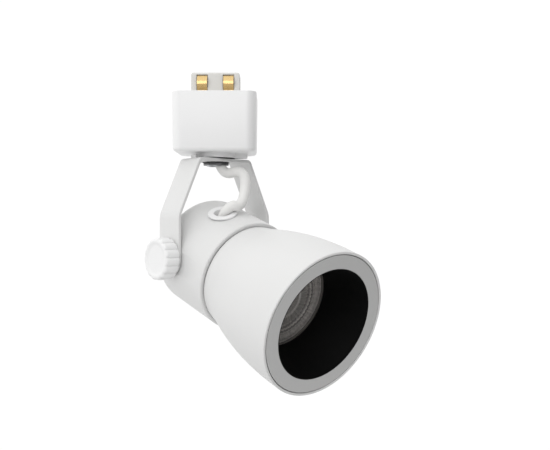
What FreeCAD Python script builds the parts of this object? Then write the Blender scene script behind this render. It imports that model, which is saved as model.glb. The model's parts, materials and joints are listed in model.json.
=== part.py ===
"""Track spotlight: a plug-in track adapter, a swivelling yoke and a tilting lamp head. Millimetres.

The origin is the adapter's top face on the swivel axis, +Z points up and +X runs along the track.
Head parts are drawn about their own Z, the lamp axis, with X on the tilt axis, and are then placed.
"""

import FreeCAD, Part
import math
import os
import Sketcher
import PartDesign

SIZES = {
    "adapter_length": 41.0,
    "adapter_width": 35.0,
    "adapter_height": 29.0,
    "adapter_corner": 5.0,
    "adapter_wall": 2.0,
    "cover_depth": 1.9,
    "post_radius": 3.0,
    "collar_radius": 10.2,
    "collar_drop": 2.3,
    "lug_reach": 15.7,
    "nipple_radius": 5.0,
    "nipple_bore": 3.7,
    "plate_drop": 31.75,
    "plate_half": 15.6,
    "sheet_gauge": 1.5,
    "strip_width": 16.2,
    "leg_half": 28.2,
    "bend_drop": 59.5,
    "pivot_drop": 80.7,
    "yoke_turn": 41.3,
    "head_tilt": 19.2,
    "running_gap": 0.05,
    "stud_radius": 2.5,
    "knob_radius": 10.1,
    "knob_depth": 7.6,
    "housing_radius": 27.0,
    "housing_wall": 2.0,
    "housing_back": 14.0,
    "housing_front": 25.7,
    "pivot_flat": 26.4,
    "boss_reach": 20.0,
    "bell_start": 27.3,
    "bell_front": 82.1,
    "bell_neck": 25.4,
    "bell_mouth": 33.7,
    "bell_wall": 1.6,
    "screw_circle": 21.8,
    "ring_outer": 32.5,
    "ring_inner": 25.5,
    "ring_depth": 1.7,
    "baffle_back": 56.2,
    "baffle_waist": 21.8,
    "lamp_radius": 25.0,
    "lamp_front": 55.5,
    "lamp_base": 8.5,
    "pin_offset": 5.0,
    "holder_radius": 15.0,
    "cable_radius": 2.5,
    "grommet_radius": 6.8,
    "grommet_bore": 4.4,
    "grommet_along": 8.6,
    "grommet_angle": 18.0,
}

# The supply cable's corners from inside the adapter to inside the head, and each corner's arc radius.
CABLE_CORNERS = [
    (0.0, 0.0, -21.0),
    (0.8, -0.3, -40.9),
    (15.6, -6.5, -36.4),
    (14.3, -17.9, -56.3),
    (7.0, -20.35, -54.7),
    (3.1, -15.85, -63.52),
]
CABLE_ARCS = [4.4, 5.2, 4.0, 3.4]

V = FreeCAD.Vector
doc = FreeCAD.newDocument("TrackSpotlight")
sheet = doc.addObject("Spreadsheet::Sheet", "Sizes")
nodes = []


class Dim:
    """A size that carries both its value and the sheet expression that gives it."""

    def __init__(self, value, text):
        self.value = value
        self.text = text

    def __add__(self, other):
        other = as_dim(other)
        return Dim(self.value + other.value, f"({self.text} + {other.text})")

    def __sub__(self, other):
        other = as_dim(other)
        return Dim(self.value - other.value, f"({self.text} - {other.text})")

    def __mul__(self, other):
        other = as_dim(other)
        return Dim(self.value * other.value, f"({self.text} * {other.text})")

    def __radd__(self, other):
        return as_dim(other) + self

    def __rsub__(self, other):
        return as_dim(other) - self

    def __neg__(self):
        return Dim(-self.value, f"(0 - {self.text})")


def as_dim(number):
    """The number as a Dim, unchanged if it is one already."""
    if isinstance(number, Dim):
        return number
    return Dim(float(number), f"({float(number):.6f})")


def fill_sheet():
    """Write every driving size into the sheet under its own alias."""
    for row, (name, value) in enumerate(SIZES.items(), start=1):
        sheet.set(f"A{row}", name)
        sheet.set(f"B{row}", f"{value}")
        sheet.setAlias(f"B{row}", name)
    doc.recompute()


def size(name):
    """The sheet's size of this name."""
    return Dim(float(sheet.get(name)), f"Sizes.{name}")


def head_placement():
    """The head's frame: Z along the lamp axis, X along the tilt axis, Y up out of the head."""
    turn = FreeCAD.Rotation(V(0, 0, 1), size("yoke_turn").value)
    tilt = FreeCAD.Rotation(V(1, 0, 0), 90.0 + size("head_tilt").value)
    return FreeCAD.Placement(V(0, 0, -size("pivot_drop").value), turn * tilt)


def yoke_placement():
    """The yoke's frame: X along the tilt axis, Z up the swivel axis."""
    return FreeCAD.Placement(V(0, 0, 0), FreeCAD.Rotation(V(0, 0, 1), size("yoke_turn").value))


def side_placement():
    """The pivot's frame: Z along the tilt axis towards the screw side, at the pivot."""
    frame = head_placement()
    return frame * FreeCAD.Placement(V(0, 0, 0), FreeCAD.Rotation(V(0, 1, 0), 90.0))


def grommet_placement():
    """The cable entry's frame: Z out of the housing's wall, at the lamp axis."""
    out = FreeCAD.Rotation(V(0, 0, 1), size("grommet_angle").value)
    lay = FreeCAD.Rotation(V(1, 0, 0), -90.0)
    return FreeCAD.Placement(V(0, 0, size("grommet_along").value), out * lay)


def keep(item, label, placement=None):
    """Name a finished sub-part and note it for export."""
    if placement is not None:
        item.Placement = placement
    item.Label = label
    nodes.append((label, item))
    return item


def new_body(label, placement=None):
    """An empty body kept as the sub-part of this name."""
    body = doc.addObject("PartDesign::Body", "Body_" + label)
    return keep(body, label, placement)


def plane(body, role):
    """The body's own origin plane of this role."""
    for item in body.Origin.OriginFeatures:
        if item.Role == role:
            return item
    raise ValueError(role)


def sketch(body, role, offset=0.0):
    """A sketch on an origin plane, moved along the plane's normal by the offset."""
    made = body.newObject("Sketcher::SketchObject", body.Name + "_sketch")
    made.AttachmentSupport = [(plane(body, role), "")]
    made.MapMode = "FlatFace"
    shift = as_dim(offset)
    made.AttachmentOffset = FreeCAD.Placement(V(0, 0, shift.value), FreeCAD.Rotation())
    made.setExpression("AttachmentOffset.Base.z", shift.text)
    return made


def fix_point(made, geometry, end, x, y):
    """Hold one point of a sketch at two sizes from the origin."""
    for kind, number in (("DistanceX", x), ("DistanceY", y)):
        number = as_dim(number)
        index = made.addConstraint(Sketcher.Constraint(kind, -1, 1, geometry, end, number.value))
        made.setExpression(f"Constraints[{index}]", number.text)


def polygon(made, corners):
    """A closed outline with every corner held at its sizes."""
    points = [V(as_dim(x).value, as_dim(y).value, 0) for x, y in corners]
    count = len(points)
    first = made.GeometryCount
    for i in range(count):
        made.addGeometry(Part.LineSegment(points[i], points[(i + 1) % count]))
    for i in range(count):
        joined = Sketcher.Constraint("Coincident", first + i, 2, first + (i + 1) % count, 1)
        made.addConstraint(joined)
    for i, (x, y) in enumerate(corners):
        fix_point(made, first + i, 1, x, y)


def rectangle(made, x0, x1, y0, y1):
    """A closed rectangle between two X and two Y sizes."""
    polygon(made, [(x0, y0), (x1, y0), (x1, y1), (x0, y1)])


def circle(made, x, y, radius):
    """A circle held at its centre with a bound radius."""
    radius = as_dim(radius)
    centre = V(as_dim(x).value, as_dim(y).value, 0)
    index = made.addGeometry(Part.Circle(centre, V(0, 0, 1), radius.value))
    fix_point(made, index, 3, x, y)
    held = made.addConstraint(Sketcher.Constraint("Radius", index, radius.value))
    made.setExpression(f"Constraints[{held}]", radius.text)


def pad(body, made, length, up=True):
    """Add the sketch's outline along its normal, or against it."""
    feature = body.newObject("PartDesign::Pad", body.Name + "_pad")
    feature.Profile = made
    length = as_dim(length)
    feature.Length = length.value
    feature.setExpression("Length", length.text)
    feature.Reversed = not up
    body.Tip = feature
    doc.recompute()
    return feature


def pocket(body, made, length, up=False):
    """Take the sketch's outline away, against its normal or along it."""
    before = body.Shape.Volume
    feature = body.newObject("PartDesign::Pocket", body.Name + "_pocket")
    feature.Profile = made
    length = as_dim(length)
    feature.Length = length.value
    feature.setExpression("Length", length.text)
    feature.Reversed = up
    body.Tip = feature
    doc.recompute()
    if body.Shape.Volume > before - 1e-3:
        raise ValueError(body.Label + ": a pocket took nothing away")
    return feature


def turned(body, corners):
    """A solid of revolution about the body's Z from corners given as (radius, height)."""
    made = sketch(body, "XZ_Plane")
    polygon(made, corners)
    feature = body.newObject("PartDesign::Revolution", body.Name + "_turned")
    feature.Profile = made
    feature.ReferenceAxis = (made, ["V_Axis"])
    feature.Angle = 360.0
    body.Tip = feature
    doc.recompute()
    return feature


def round_edges(body, radius, wanted):
    """Fillet the edges of the body's tip that the test picks."""
    tip = body.Tip
    names = [f"Edge{i}" for i, edge in enumerate(tip.Shape.Edges, start=1) if wanted(edge)]
    if not names:
        raise ValueError(body.Label + ": no edge to round")
    feature = body.newObject("PartDesign::Fillet", body.Name + "_fillet")
    feature.Base = (tip, names)
    radius = as_dim(radius)
    feature.Radius = radius.value
    feature.setExpression("Radius", radius.text)
    body.Tip = feature
    doc.recompute()
    return feature


def round_pattern(body, feature, count):
    """Repeat one feature evenly about the body's Z."""
    made = body.newObject("PartDesign::PolarPattern", body.Name + "_pattern")
    made.Originals = [feature]
    made.Axis = (feature.Profile[0], ["N_Axis"])
    made.Angle = 360.0
    made.Occurrences = count
    body.Tip = made
    doc.recompute()
    return made


def is_circle_at(edge, radius, height):
    """Is the edge a whole circle of this radius at this height?"""
    if not isinstance(edge.Curve, Part.Circle):
        return False
    box = edge.BoundBox
    return abs(edge.Curve.Radius - radius) < 0.01 and abs(box.ZMin - height) < 0.01 and box.ZLength < 0.01


def runs_along(edge, direction):
    """Is the edge a straight line along this direction?"""
    if not isinstance(edge.Curve, Part.Line):
        return False
    return abs(abs(edge.tangentAt(edge.FirstParameter).dot(direction)) - 1.0) < 1e-6


def cylinder(radius, low, high, x=0.0, y=0.0):
    """A plain cylinder along Z between two heights."""
    item = doc.addObject("Part::Cylinder", "Cylinder")
    item.setExpression("Radius", as_dim(radius).text)
    item.setExpression("Height", (as_dim(high) - low).text)
    item.setExpression("Placement.Base.x", as_dim(x).text)
    item.setExpression("Placement.Base.y", as_dim(y).text)
    item.setExpression("Placement.Base.z", as_dim(low).text)
    return item


def hexagon(radius, low, high):
    """A six-sided prism along Z; the radius reaches its corners."""
    item = doc.addObject("Part::Prism", "Prism")
    item.Polygon = 6
    item.setExpression("Circumradius", as_dim(radius).text)
    item.setExpression("Height", (as_dim(high) - low).text)
    item.setExpression("Placement.Base.z", as_dim(low).text)
    return item


def block(x0, x1, y0, y1, z0, z1):
    """A plain box between three pairs of sizes."""
    item = doc.addObject("Part::Box", "Box")
    for side, low, high in (("Length", x0, x1), ("Width", y0, y1), ("Height", z0, z1)):
        item.setExpression(side, (as_dim(high) - low).text)
    for axis, low in (("x", x0), ("y", y0), ("z", z0)):
        item.setExpression(f"Placement.Base.{axis}", as_dim(low).text)
    return item


def cut(base, *tools):
    """The base with each tool taken away."""
    for tool in tools:
        made = doc.addObject("Part::Cut", "Cut")
        made.Base = base
        made.Tool = tool
        base = made
    return base


def fuse(*items):
    """One solid from several that touch or overlap."""
    made = doc.addObject("Part::MultiFuse", "Fuse")
    made.Shapes = list(items)
    return made


def group(*items):
    """Several separate solids kept as one sub-part."""
    made = doc.addObject("Part::Compound", "Group")
    made.Links = list(items)
    return made


def corner_arcs(corners, radii):
    """The route through the corners as straight edges joined by tangent arcs."""
    points = [V(*p) for p in corners]
    edges = []
    start = points[0]
    for i, radius in enumerate(radii, start=1):
        back = (points[i - 1] - points[i]).normalize()
        ahead = (points[i + 1] - points[i]).normalize()
        half = back.getAngle(ahead) / 2.0
        reach = radius / math.tan(half)
        first = points[i] + back * reach
        last = points[i] + ahead * reach
        middle = (back + ahead).normalize()
        crown = points[i] + middle * (radius / math.sin(half) - radius)
        edges.append(Part.makeLine(start, first))
        edges.append(Part.Arc(first, crown, last).toShape())
        start = last
    edges.append(Part.makeLine(start, points[-1]))
    return edges


def tube_along(corners, radii, radius):
    """A round tube swept along a cornered route, and the route's length."""
    wire = Part.Wire(corner_arcs(corners, radii))
    heading = (V(*corners[1]) - V(*corners[0])).normalize()
    ring = Part.Wire(Part.makeCircle(radius, V(*corners[0]), heading))
    return wire.makePipeShell([ring], True, False, 2), wire.Length


def shape_node(label, shapes, placement=None):
    """A sub-part whose shape is built in code from the sheet's sizes."""
    item = doc.addObject("Part::Feature", label)
    item.Shape = shapes[0] if len(shapes) == 1 else Part.makeCompound(shapes)
    return keep(item, label, placement)


def adapter_housing():
    body = new_body("adapter_housing")
    half_x = size("adapter_length") * 0.5
    half_y = size("adapter_width") * 0.5
    height = size("adapter_height")
    wall = size("adapter_wall")
    made = sketch(body, "XY_Plane")
    rectangle(made, -half_x, half_x, -half_y, half_y)
    pad(body, made, height, up=False)
    round_edges(body, size("adapter_corner"), lambda e: runs_along(e, V(0, 0, 1)))
    low = -height.value
    round_edges(body, 1.2, lambda e: e.BoundBox.ZMax < low + 0.01)
    made = sketch(body, "XY_Plane")
    rectangle(made, wall - half_x, half_x - wall, wall - half_y, half_y - wall)
    pocket(body, made, height - wall)
    made = sketch(body, "XY_Plane", -size("cover_depth") - 0.1)
    for x, y in ((1, 1), (1, -1), (-1, 1), (-1, -1)):
        circle(made, (half_x - 6.0) * x, (half_y - 6.0) * y, size("post_radius"))
    pad(body, made, height - wall - size("cover_depth"), up=False)
    made = sketch(body, "XY_Plane", -size("cover_depth") - 0.1)
    for x, y in ((1, 1), (1, -1), (-1, 1), (-1, -1)):
        circle(made, (half_x - 6.0) * x, (half_y - 6.0) * y, 1.0)
    pocket(body, made, 9.0)
    made = sketch(body, "XY_Plane", 0.5 - height)
    circle(made, 0, 0, size("collar_radius"))
    pad(body, made, size("collar_drop") + 0.5, up=False)
    made = sketch(body, "XY_Plane", 0.5 - height)
    rectangle(made, 8.0, size("lug_reach"), -3.0, 3.0)
    pad(body, made, size("collar_drop") + 0.5, up=False)
    made = sketch(body, "XY_Plane", wall + 1.0 - height)
    circle(made, 0, 0, size("nipple_radius") + 0.3)
    pocket(body, made, wall + size("collar_drop") + 2.0)
    made = sketch(body, "XZ_Plane", -half_y - 1.0)
    rectangle(made, -4.4, 4.4, -16.5, -7.6)
    pocket(body, made, wall + 1.5, up=True)


def adapter_cover():
    body = new_body("adapter_cover")
    half_x = size("adapter_length") * 0.5
    half_y = size("adapter_width") * 0.5
    room = size("adapter_wall") + 0.2
    made = sketch(body, "XY_Plane")
    rectangle(made, room - half_x, half_x - room, room - half_y, half_y - room)
    pad(body, made, size("cover_depth"), up=False)
    made = sketch(body, "XY_Plane", 0.5)
    rectangle(made, -12.3, 12.3, -5.3, 5.3)
    rectangle(made, -3.9, 3.9, half_y - 4.9, half_y)
    for x, y in ((1, 1), (1, -1), (-1, 1), (-1, -1)):
        circle(made, (half_x - 6.0) * x, (half_y - 6.0) * y, 1.3)
    pocket(body, made, 3.0)
    made = sketch(body, "XY_Plane", 0.5)
    for x, y in ((1, 1), (1, -1), (-1, 1), (-1, -1)):
        circle(made, (half_x - 6.0) * x, (half_y - 6.0) * y, 2.3)
    pocket(body, made, 1.7)


def contact_tower():
    body = new_body("contact_tower")
    made = sketch(body, "XY_Plane", -9.0)
    rectangle(made, -12.0, 12.0, -5.0, 5.0)
    pad(body, made, 20.0)
    made = sketch(body, "XY_Plane", -size("cover_depth") - 2.1)
    rectangle(made, -13.6, 13.6, -6.6, 6.6)
    pad(body, made, 2.0)
    round_edges(body, 1.0, lambda e: e.BoundBox.ZMin > 10.9)
    for x, side in ((-6.5, -1), (6.5, -1), (0.0, 1)):
        made = sketch(body, "XY_Plane", 9.8)
        rectangle(made, x - 2.8, x + 2.8, 3.9 * side, 8.0 * side)
        pocket(body, made, 30.0)


def contact(label, x, side):
    """A sprung contact strip that stands in a groove of the tower and bows out of it."""
    body = new_body(label)
    made = sketch(body, "YZ_Plane", x - 2.5)
    outline = [(4.1, -11.0), (4.6, -11.0), (4.6, 2.2), (6.9, 5.0), (6.9, 6.4), (4.6, 9.4)]
    outline += [(4.1, 9.4), (6.4, 6.2), (6.4, 5.2), (4.1, 2.4)]
    polygon(made, [(y * side, z) for y, z in outline])
    pad(body, made, 5.0)


def cover_screws():
    half_x = size("adapter_length") * 0.5
    half_y = size("adapter_width") * 0.5
    screws = []
    for x, y in ((1, 1), (1, -1), (-1, 1), (-1, -1)):
        at_x = (half_x - 6.0) * x
        at_y = (half_y - 6.0) * y
        head = cylinder(2.0, -1.15, -0.15, at_x, at_y)
        shank = cylinder(0.9, -9.5, -1.0, at_x, at_y)
        slot = cylinder(0.7, -0.7, 0.1, at_x, at_y)
        screws.append(cut(fuse(head, shank), slot))
    keep(group(*screws), "cover_screws")


def swivel_fixings():
    """The hollow nipple on the swivel axis with its inner nut, lower nut and washers."""
    radius = size("nipple_radius")
    floor = size("adapter_wall") - size("adapter_height")
    under = -size("plate_drop") - size("sheet_gauge")
    tube = cylinder(radius, floor - 8.4, floor + 4.5)
    keep(cut(tube, cylinder(size("nipple_bore"), floor - 9.9, floor + 5.5)), "swivel_nipple")
    bore = cylinder(radius + 0.02, floor - 1.0, floor + 5.0)
    keep(cut(hexagon(7.5, floor + 0.05, floor + 3.0), bore), "nipple_nut")
    bore = cylinder(radius + 0.02, under - 4.0, under + 1.0)
    keep(cut(hexagon(6.35, under - 1.7, under - 0.6), bore), "swivel_nut")
    ring = cut(cylinder(6.0, under - 0.55, under - 0.05), cylinder(radius + 0.1, under - 2, under + 1))
    teeth = []
    for i in range(10):
        tooth = doc.addObject("Part::Box", "Tooth")
        tooth.Length = 0.9
        tooth.Width = 1.5
        tooth.Height = 0.5
        spin = FreeCAD.Rotation(V(0, 0, 1), 36.0 * i)
        tooth.Placement = FreeCAD.Placement(spin.multVec(V(5.7, -0.75, 0)), spin)
        tooth.setExpression("Placement.Base.z", (under - 0.55).text)
        teeth.append(tooth)
    keep(fuse(ring, *teeth), "lock_washer")


def lock_tab():
    """The sprung release: a lug into the track, a plate behind the back wall and a thumb pad."""
    back = size("adapter_width") * 0.5
    plate = block(-6.0, 6.0, back - 4.5, back - 2.4, -20.0, -2.6)
    lug = block(-3.5, 3.5, back - 4.5, back - 2.4, -2.6, 2.6)
    thumb = block(-4.0, 4.0, back - 2.4, back + 1.3, -13.0, -8.0)
    keep(fuse(plate, lug, thumb), "lock_tab")


def lock_spring():
    """The release's zigzag leaf spring, between the housing's floor and the tab's plate."""
    body = new_body("lock_spring")
    half_y = size("adapter_width") * 0.5
    low = size("adapter_wall") - size("adapter_height") + 0.3
    made = sketch(body, "XZ_Plane", 2.2 - half_y)
    outline = [(-2.0, -0.25), (2.0, 1.35), (2.0, 1.85), (-1.375, 3.2), (2.0, 4.55), (2.0, 5.05), (-2.0, 6.65)]
    outline += [(-2.0, 6.15), (1.375, 4.8), (-2.0, 3.45), (-2.0, 2.95), (1.375, 1.6), (-2.0, 0.25)]
    polygon(made, [(x, low + z) for x, z in outline])
    pad(body, made, 3.0)


def lead(corners, radii, radius=0.7):
    return tube_along(corners, radii, radius)[0]


def adapter_leads():
    """Insulated wires from the cable's end inside the adapter to the three contacts."""
    live = lead([(-1.0, -0.5, -20.7), (-1.0, -0.5, -17.0), (-6.5, -3.2, -15.0), (-6.5, -3.35, -11.3)], [1.4, 1.4])
    earth = lead([(1.0, -0.5, -20.7), (1.0, -0.5, -17.0), (6.5, -3.2, -15.0), (6.5, -3.35, -11.3)], [1.4, 1.4])
    neutral = lead([(0.0, 1.1, -20.7), (0.0, 1.1, -16.0), (0.0, 3.35, -14.0), (0.0, 3.35, -11.3)], [1.4, 1.4])
    shape_node("adapter_leads", [live, earth, neutral])


def yoke_bracket():
    body = new_body("yoke_bracket", yoke_placement())
    top = -size("plate_drop")
    bend = -size("bend_drop")
    foot = -size("pivot_drop") - size("strip_width") * 0.5
    out = size("leg_half")
    near = size("plate_half")
    gauge = size("sheet_gauge")
    half = size("strip_width") * 0.5
    made = sketch(body, "XZ_Plane", -half)
    polygon(made, [(-out, foot), (-out, bend), (-near, top), (near, top), (out, bend), (out, foot)])
    pad(body, made, half * 2)
    slope = math.atan2(out.value - near.value, top.value - bend.value)
    thick = gauge.value
    in_x = near.value - thick * math.tan((math.pi / 2 - slope) / 2)
    in_bend = bend.value - thick * math.tan(slope / 2)
    made = sketch(body, "XZ_Plane", half + 1.0)
    leg = out - gauge
    inner = [(-leg, foot - 1.0), (-leg, in_bend), (-in_x, top - gauge)]
    inner += [(in_x, top - gauge), (leg, in_bend), (leg, foot - 1.0)]
    polygon(made, inner)
    pocket(body, made, half * 2 + 2.0)
    along = V(0, 1, 0)
    high = top.value

    def at_corner(edge, x, z):
        box = edge.BoundBox
        return runs_along(edge, along) and abs(abs(box.XMin) - x) < 0.01 and abs(box.ZMin - z) < 0.01

    round_edges(body, 2.6, lambda e: at_corner(e, near.value, high))
    round_edges(body, 1.1, lambda e: at_corner(e, in_x, high - thick))
    round_edges(body, 9.5, lambda e: at_corner(e, out.value, bend.value))
    round_edges(body, 8.0, lambda e: at_corner(e, leg.value, in_bend))
    low = foot.value
    across = V(1, 0, 0)
    round_edges(body, half - 0.05, lambda e: runs_along(e, across) and e.BoundBox.ZMin < low + 0.01)
    made = sketch(body, "XY_Plane", top + 1.0)
    circle(made, 0, 0, size("nipple_radius") + size("running_gap"))
    pocket(body, made, gauge + 3.0)
    made = sketch(body, "YZ_Plane", out + 1.0)
    circle(made, 0, -size("pivot_drop"), size("stud_radius") + size("running_gap"))
    pocket(body, made, out * 2 + 2.0)
    made = sketch(body, "XY_Plane", top - 0.5)
    rectangle(made, -14.0, -12.4, -2.0, 2.0)
    pad(body, made, 2.4)


def swivel_washer():
    plate = -size("plate_drop")
    ring = cylinder(9.4, plate + 0.1, plate + 0.35)
    bore = cylinder(size("nipple_radius") + 0.1, plate - 1.0, plate + 1.0)
    keep(cut(ring, bore), "swivel_washer", yoke_placement())


def supply_cable():
    tube, length = tube_along(CABLE_CORNERS, CABLE_ARCS, size("cable_radius").value)
    section = math.pi * size("cable_radius").value ** 2
    if abs(tube.Volume / (section * length) - 1.0) > 0.02:
        raise ValueError("supply_cable: its volume is not its section times its length")
    print("supply cable length", round(length, 1), "arc radii", CABLE_ARCS)
    shape_node("supply_cable", [tube])


def rear_housing():
    body = new_body("rear_housing", head_placement())
    outer = size("housing_radius")
    wall = size("housing_wall")
    back = -size("housing_back")
    front = size("housing_front")
    inner = outer - wall
    turned(body, [(0, back), (outer, back), (outer, front), (inner, front), (inner, back + wall), (0, back + wall)])
    round_edges(body, 6.5, lambda e: is_circle_at(e, outer.value, back.value))
    round_edges(body, 4.6, lambda e: is_circle_at(e, inner.value, back.value + wall.value))
    flat = size("pivot_flat")
    made = sketch(body, "XY_Plane", back - 1.0)
    rectangle(made, flat, flat + 3.0, -14.0, 14.0)
    rectangle(made, -flat - 3.0, -flat, -14.0, 14.0)
    pocket(body, made, 12.0 - back, up=True)
    made = sketch(body, "YZ_Plane", size("boss_reach"))
    circle(made, 0, 0, 6.0)
    pad(body, made, flat - 0.6 - size("boss_reach"))
    made = sketch(body, "YZ_Plane", -size("boss_reach"))
    circle(made, 0, 0, 6.0)
    pad(body, made, flat - 0.6 - size("boss_reach"), up=False)
    made = sketch(body, "YZ_Plane", -flat - 1.0)
    circle(made, 0, 0, 4.52)
    pocket(body, made, flat + 2.0 - size("boss_reach"), up=True)
    made = sketch(body, "YZ_Plane", flat + 1.0)
    circle(made, 0, 0, 2.03)
    pocket(body, made, flat + 2.0 - size("boss_reach"))
    made = sketch(body, "XY_Plane", 12.0)
    circle(made, 0, size("screw_circle"), 3.5)
    post = pad(body, made, front - 11.7)
    round_pattern(body, post, 3)
    made = sketch(body, "XY_Plane", front + 1.0)
    circle(made, 0, size("screw_circle"), 1.05)
    hole = pocket(body, made, 9.0)
    round_pattern(body, hole, 3)
    made = sketch(body, "XY_Plane", back + wall - 0.5)
    circle(made, 0, 17.5, 3.0)
    circle(made, 0, -17.5, 3.0)
    pad(body, made, 6.9)
    made = sketch(body, "XY_Plane", back + wall + 7.5)
    circle(made, 0, 17.5, 1.05)
    circle(made, 0, -17.5, 1.05)
    pocket(body, made, 6.0)
    entry = body.newObject("PartDesign::SubtractiveCylinder", "CableEntry")
    entry.Radius = 4.6
    entry.setExpression("Radius", (size("grommet_bore") + 0.4).text)
    entry.Height = 12.0
    spot = grommet_placement()
    entry.Placement = spot * FreeCAD.Placement(V(0, 0, outer.value - 8.0), FreeCAD.Rotation())
    body.Tip = entry
    doc.recompute()


def bell_profile():
    """The bell's outer curve as (radius, height) points from the neck to the mouth."""
    low = size("bell_start").value
    high = size("bell_front").value
    neck = size("bell_neck").value
    mouth = size("bell_mouth").value
    shares = [(0.0, 0.0), (0.12, 0.17), (0.30, 0.51), (0.52, 0.80), (0.76, 0.965), (1.0, 1.0)]
    return [(neck + (mouth - neck) * grow, low + (high - low) * run) for run, grow in shares]


def curve_through(points):
    """A smooth curve through (radius, height) points."""
    line = Part.BSplineCurve()
    line.interpolate([V(r, z, 0) for r, z in points])
    return line


def bell_shade():
    body = new_body("bell_shade", head_placement())
    outer = bell_profile()
    wall = size("bell_wall").value
    seat = size("bell_front").value - size("ring_depth").value - 0.2
    bottom = size("bell_start").value
    neck = size("bell_neck").value
    mouth = size("bell_mouth").value
    bore = size("screw_circle").value - 2.8
    inner = [(neck - wall + 0.1, bottom + 0.6)]
    inner += [(r - wall, z) for r, z in outer[1:-1]]
    inner += [(mouth - wall, seat)]
    made = sketch(body, "XZ_Plane")
    made.addGeometry(curve_through(outer))
    made.addGeometry(curve_through(inner))
    front = [outer[-1], (mouth - 0.9, outer[-1][1]), (mouth - 0.9, seat), inner[-1]]
    back = [inner[0], (bore, bottom + 0.6), (bore, bottom - 1.2), (neck - 0.7, bottom - 1.2)]
    back += [(neck - 0.7, bottom), outer[0]]
    for run in (front, back):
        for (r0, z0), (r1, z1) in zip(run, run[1:]):
            made.addGeometry(Part.LineSegment(V(r0, z0, 0), V(r1, z1, 0)))
    feature = body.newObject("PartDesign::Revolution", "BellTurned")
    feature.Profile = made
    feature.ReferenceAxis = (made, ["V_Axis"])
    feature.Angle = 360.0
    body.Tip = feature
    doc.recompute()
    made = sketch(body, "XY_Plane", size("bell_start") + 1.5)
    circle(made, 0, size("screw_circle"), 1.3)
    hole = pocket(body, made, 4.0)
    round_pattern(body, hole, 3)


def bell_screws():
    base = size("bell_start") + 0.65
    spread = size("screw_circle")
    screws = []
    for turn in (90.0, 210.0, 330.0):
        x = spread * math.cos(math.radians(turn))
        y = spread * math.sin(math.radians(turn))
        head = cylinder(1.8, base, base + 1.2, x, y)
        shank = cylinder(0.95, base - 8.5, base + 0.5, x, y)
        socket = cylinder(0.8, base + 0.5, base + 2.0, x, y)
        screws.append(cut(fuse(head, shank), socket))
    keep(group(*screws), "bell_screws", head_placement())


def grommet():
    body = new_body("grommet", head_placement() * grommet_placement())
    face = size("housing_radius") + 0.03
    bore = size("grommet_bore")
    neck = bore + 0.35
    wide = size("grommet_radius")
    low = size("housing_radius") - size("housing_wall")
    corners = [(bore, face + 0.8), (wide, face + 0.8), (wide, face), (neck, face)]
    corners += [(neck, low - 0.6), (bore + 1.0, low - 0.6), (bore + 1.0, low - 1.3), (bore, low - 1.3)]
    turned(body, corners)
    high = face.value + 0.8
    round_edges(body, 0.4, lambda e: is_circle_at(e, wide.value, high) or is_circle_at(e, bore.value, high))


def lamp_holder():
    body = new_body("lamp_holder", head_placement())
    made = sketch(body, "XY_Plane", -4.0)
    circle(made, 0, 0, size("holder_radius"))
    pad(body, made, size("lamp_base") + 3.7)
    made = sketch(body, "XY_Plane", size("lamp_base") + 1.0)
    reach = size("pin_offset").value
    wide = 2.7
    for start in (90.0, 270.0):
        slot_outline(made, reach, wide, start - 3.0, start + 33.0)
    pocket(body, made, 8.6)


def slot_outline(made, reach, wide, low, high):
    """A bent slot of half-width wide, centred on a circle of radius reach, between two angles."""
    a = math.radians(low)
    b = math.radians(high)
    axis = V(0, 0, 1)

    def spot(radius, angle):
        return V(radius * math.cos(angle), radius * math.sin(angle), 0)

    for radius in (reach + wide, reach - wide):
        ring = Part.Circle(V(0, 0, 0), axis, radius)
        made.addGeometry(Part.ArcOfCircle(ring, a, b))
    for angle, side in ((a, math.pi), (b, 0.0)):
        end = Part.Circle(spot(reach, angle), axis, wide)
        made.addGeometry(Part.ArcOfCircle(end, angle + side, angle + side + math.pi))


def holder_bracket():
    bar = block(-6.0, 6.0, -21.5, 21.5, -5.3, -4.2)
    holes = [cylinder(1.3, -8.0, 0.0, 0, 17.5), cylinder(1.3, -8.0, 0.0, 0, -17.5)]
    keep(cut(bar, *holes), "holder_bracket", head_placement())


def bracket_screws():
    screws = []
    for y in (17.5, -17.5):
        head = cylinder(2.0, -4.15, -2.9, 0, y)
        shank = cylinder(0.95, -9.4, -4.0, 0, y)
        socket = cylinder(0.8, -3.5, -2.0, 0, y)
        screws.append(cut(fuse(head, shank), socket))
    keep(group(*screws), "bracket_screws", head_placement())


def pivot_screw():
    """The fixed pivot on the far side: a shouldered screw through the yoke's leg."""
    leg = size("leg_half")
    flat = size("pivot_flat")
    head = cylinder(4.6, leg + 0.3, leg + 2.6)
    shoulder = cylinder(size("stud_radius"), flat + 0.05, leg + 0.4)
    thread = cylinder(2.0, size("boss_reach") + 0.5, flat + 0.1)
    socket = hexagon(1.7, leg + 1.2, leg + 3.0)
    keep(cut(fuse(head, shoulder, thread), socket), "pivot_screw", side_placement())


def pivot_insert():
    flat = size("pivot_flat")
    sleeve = cylinder(4.5, -flat + 0.05, -size("boss_reach") - 0.2)
    bore = cylinder(size("stud_radius") + size("running_gap"), -flat - 1.0, -size("boss_reach") + 1.0)
    keep(cut(sleeve, bore), "pivot_insert", side_placement())


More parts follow.
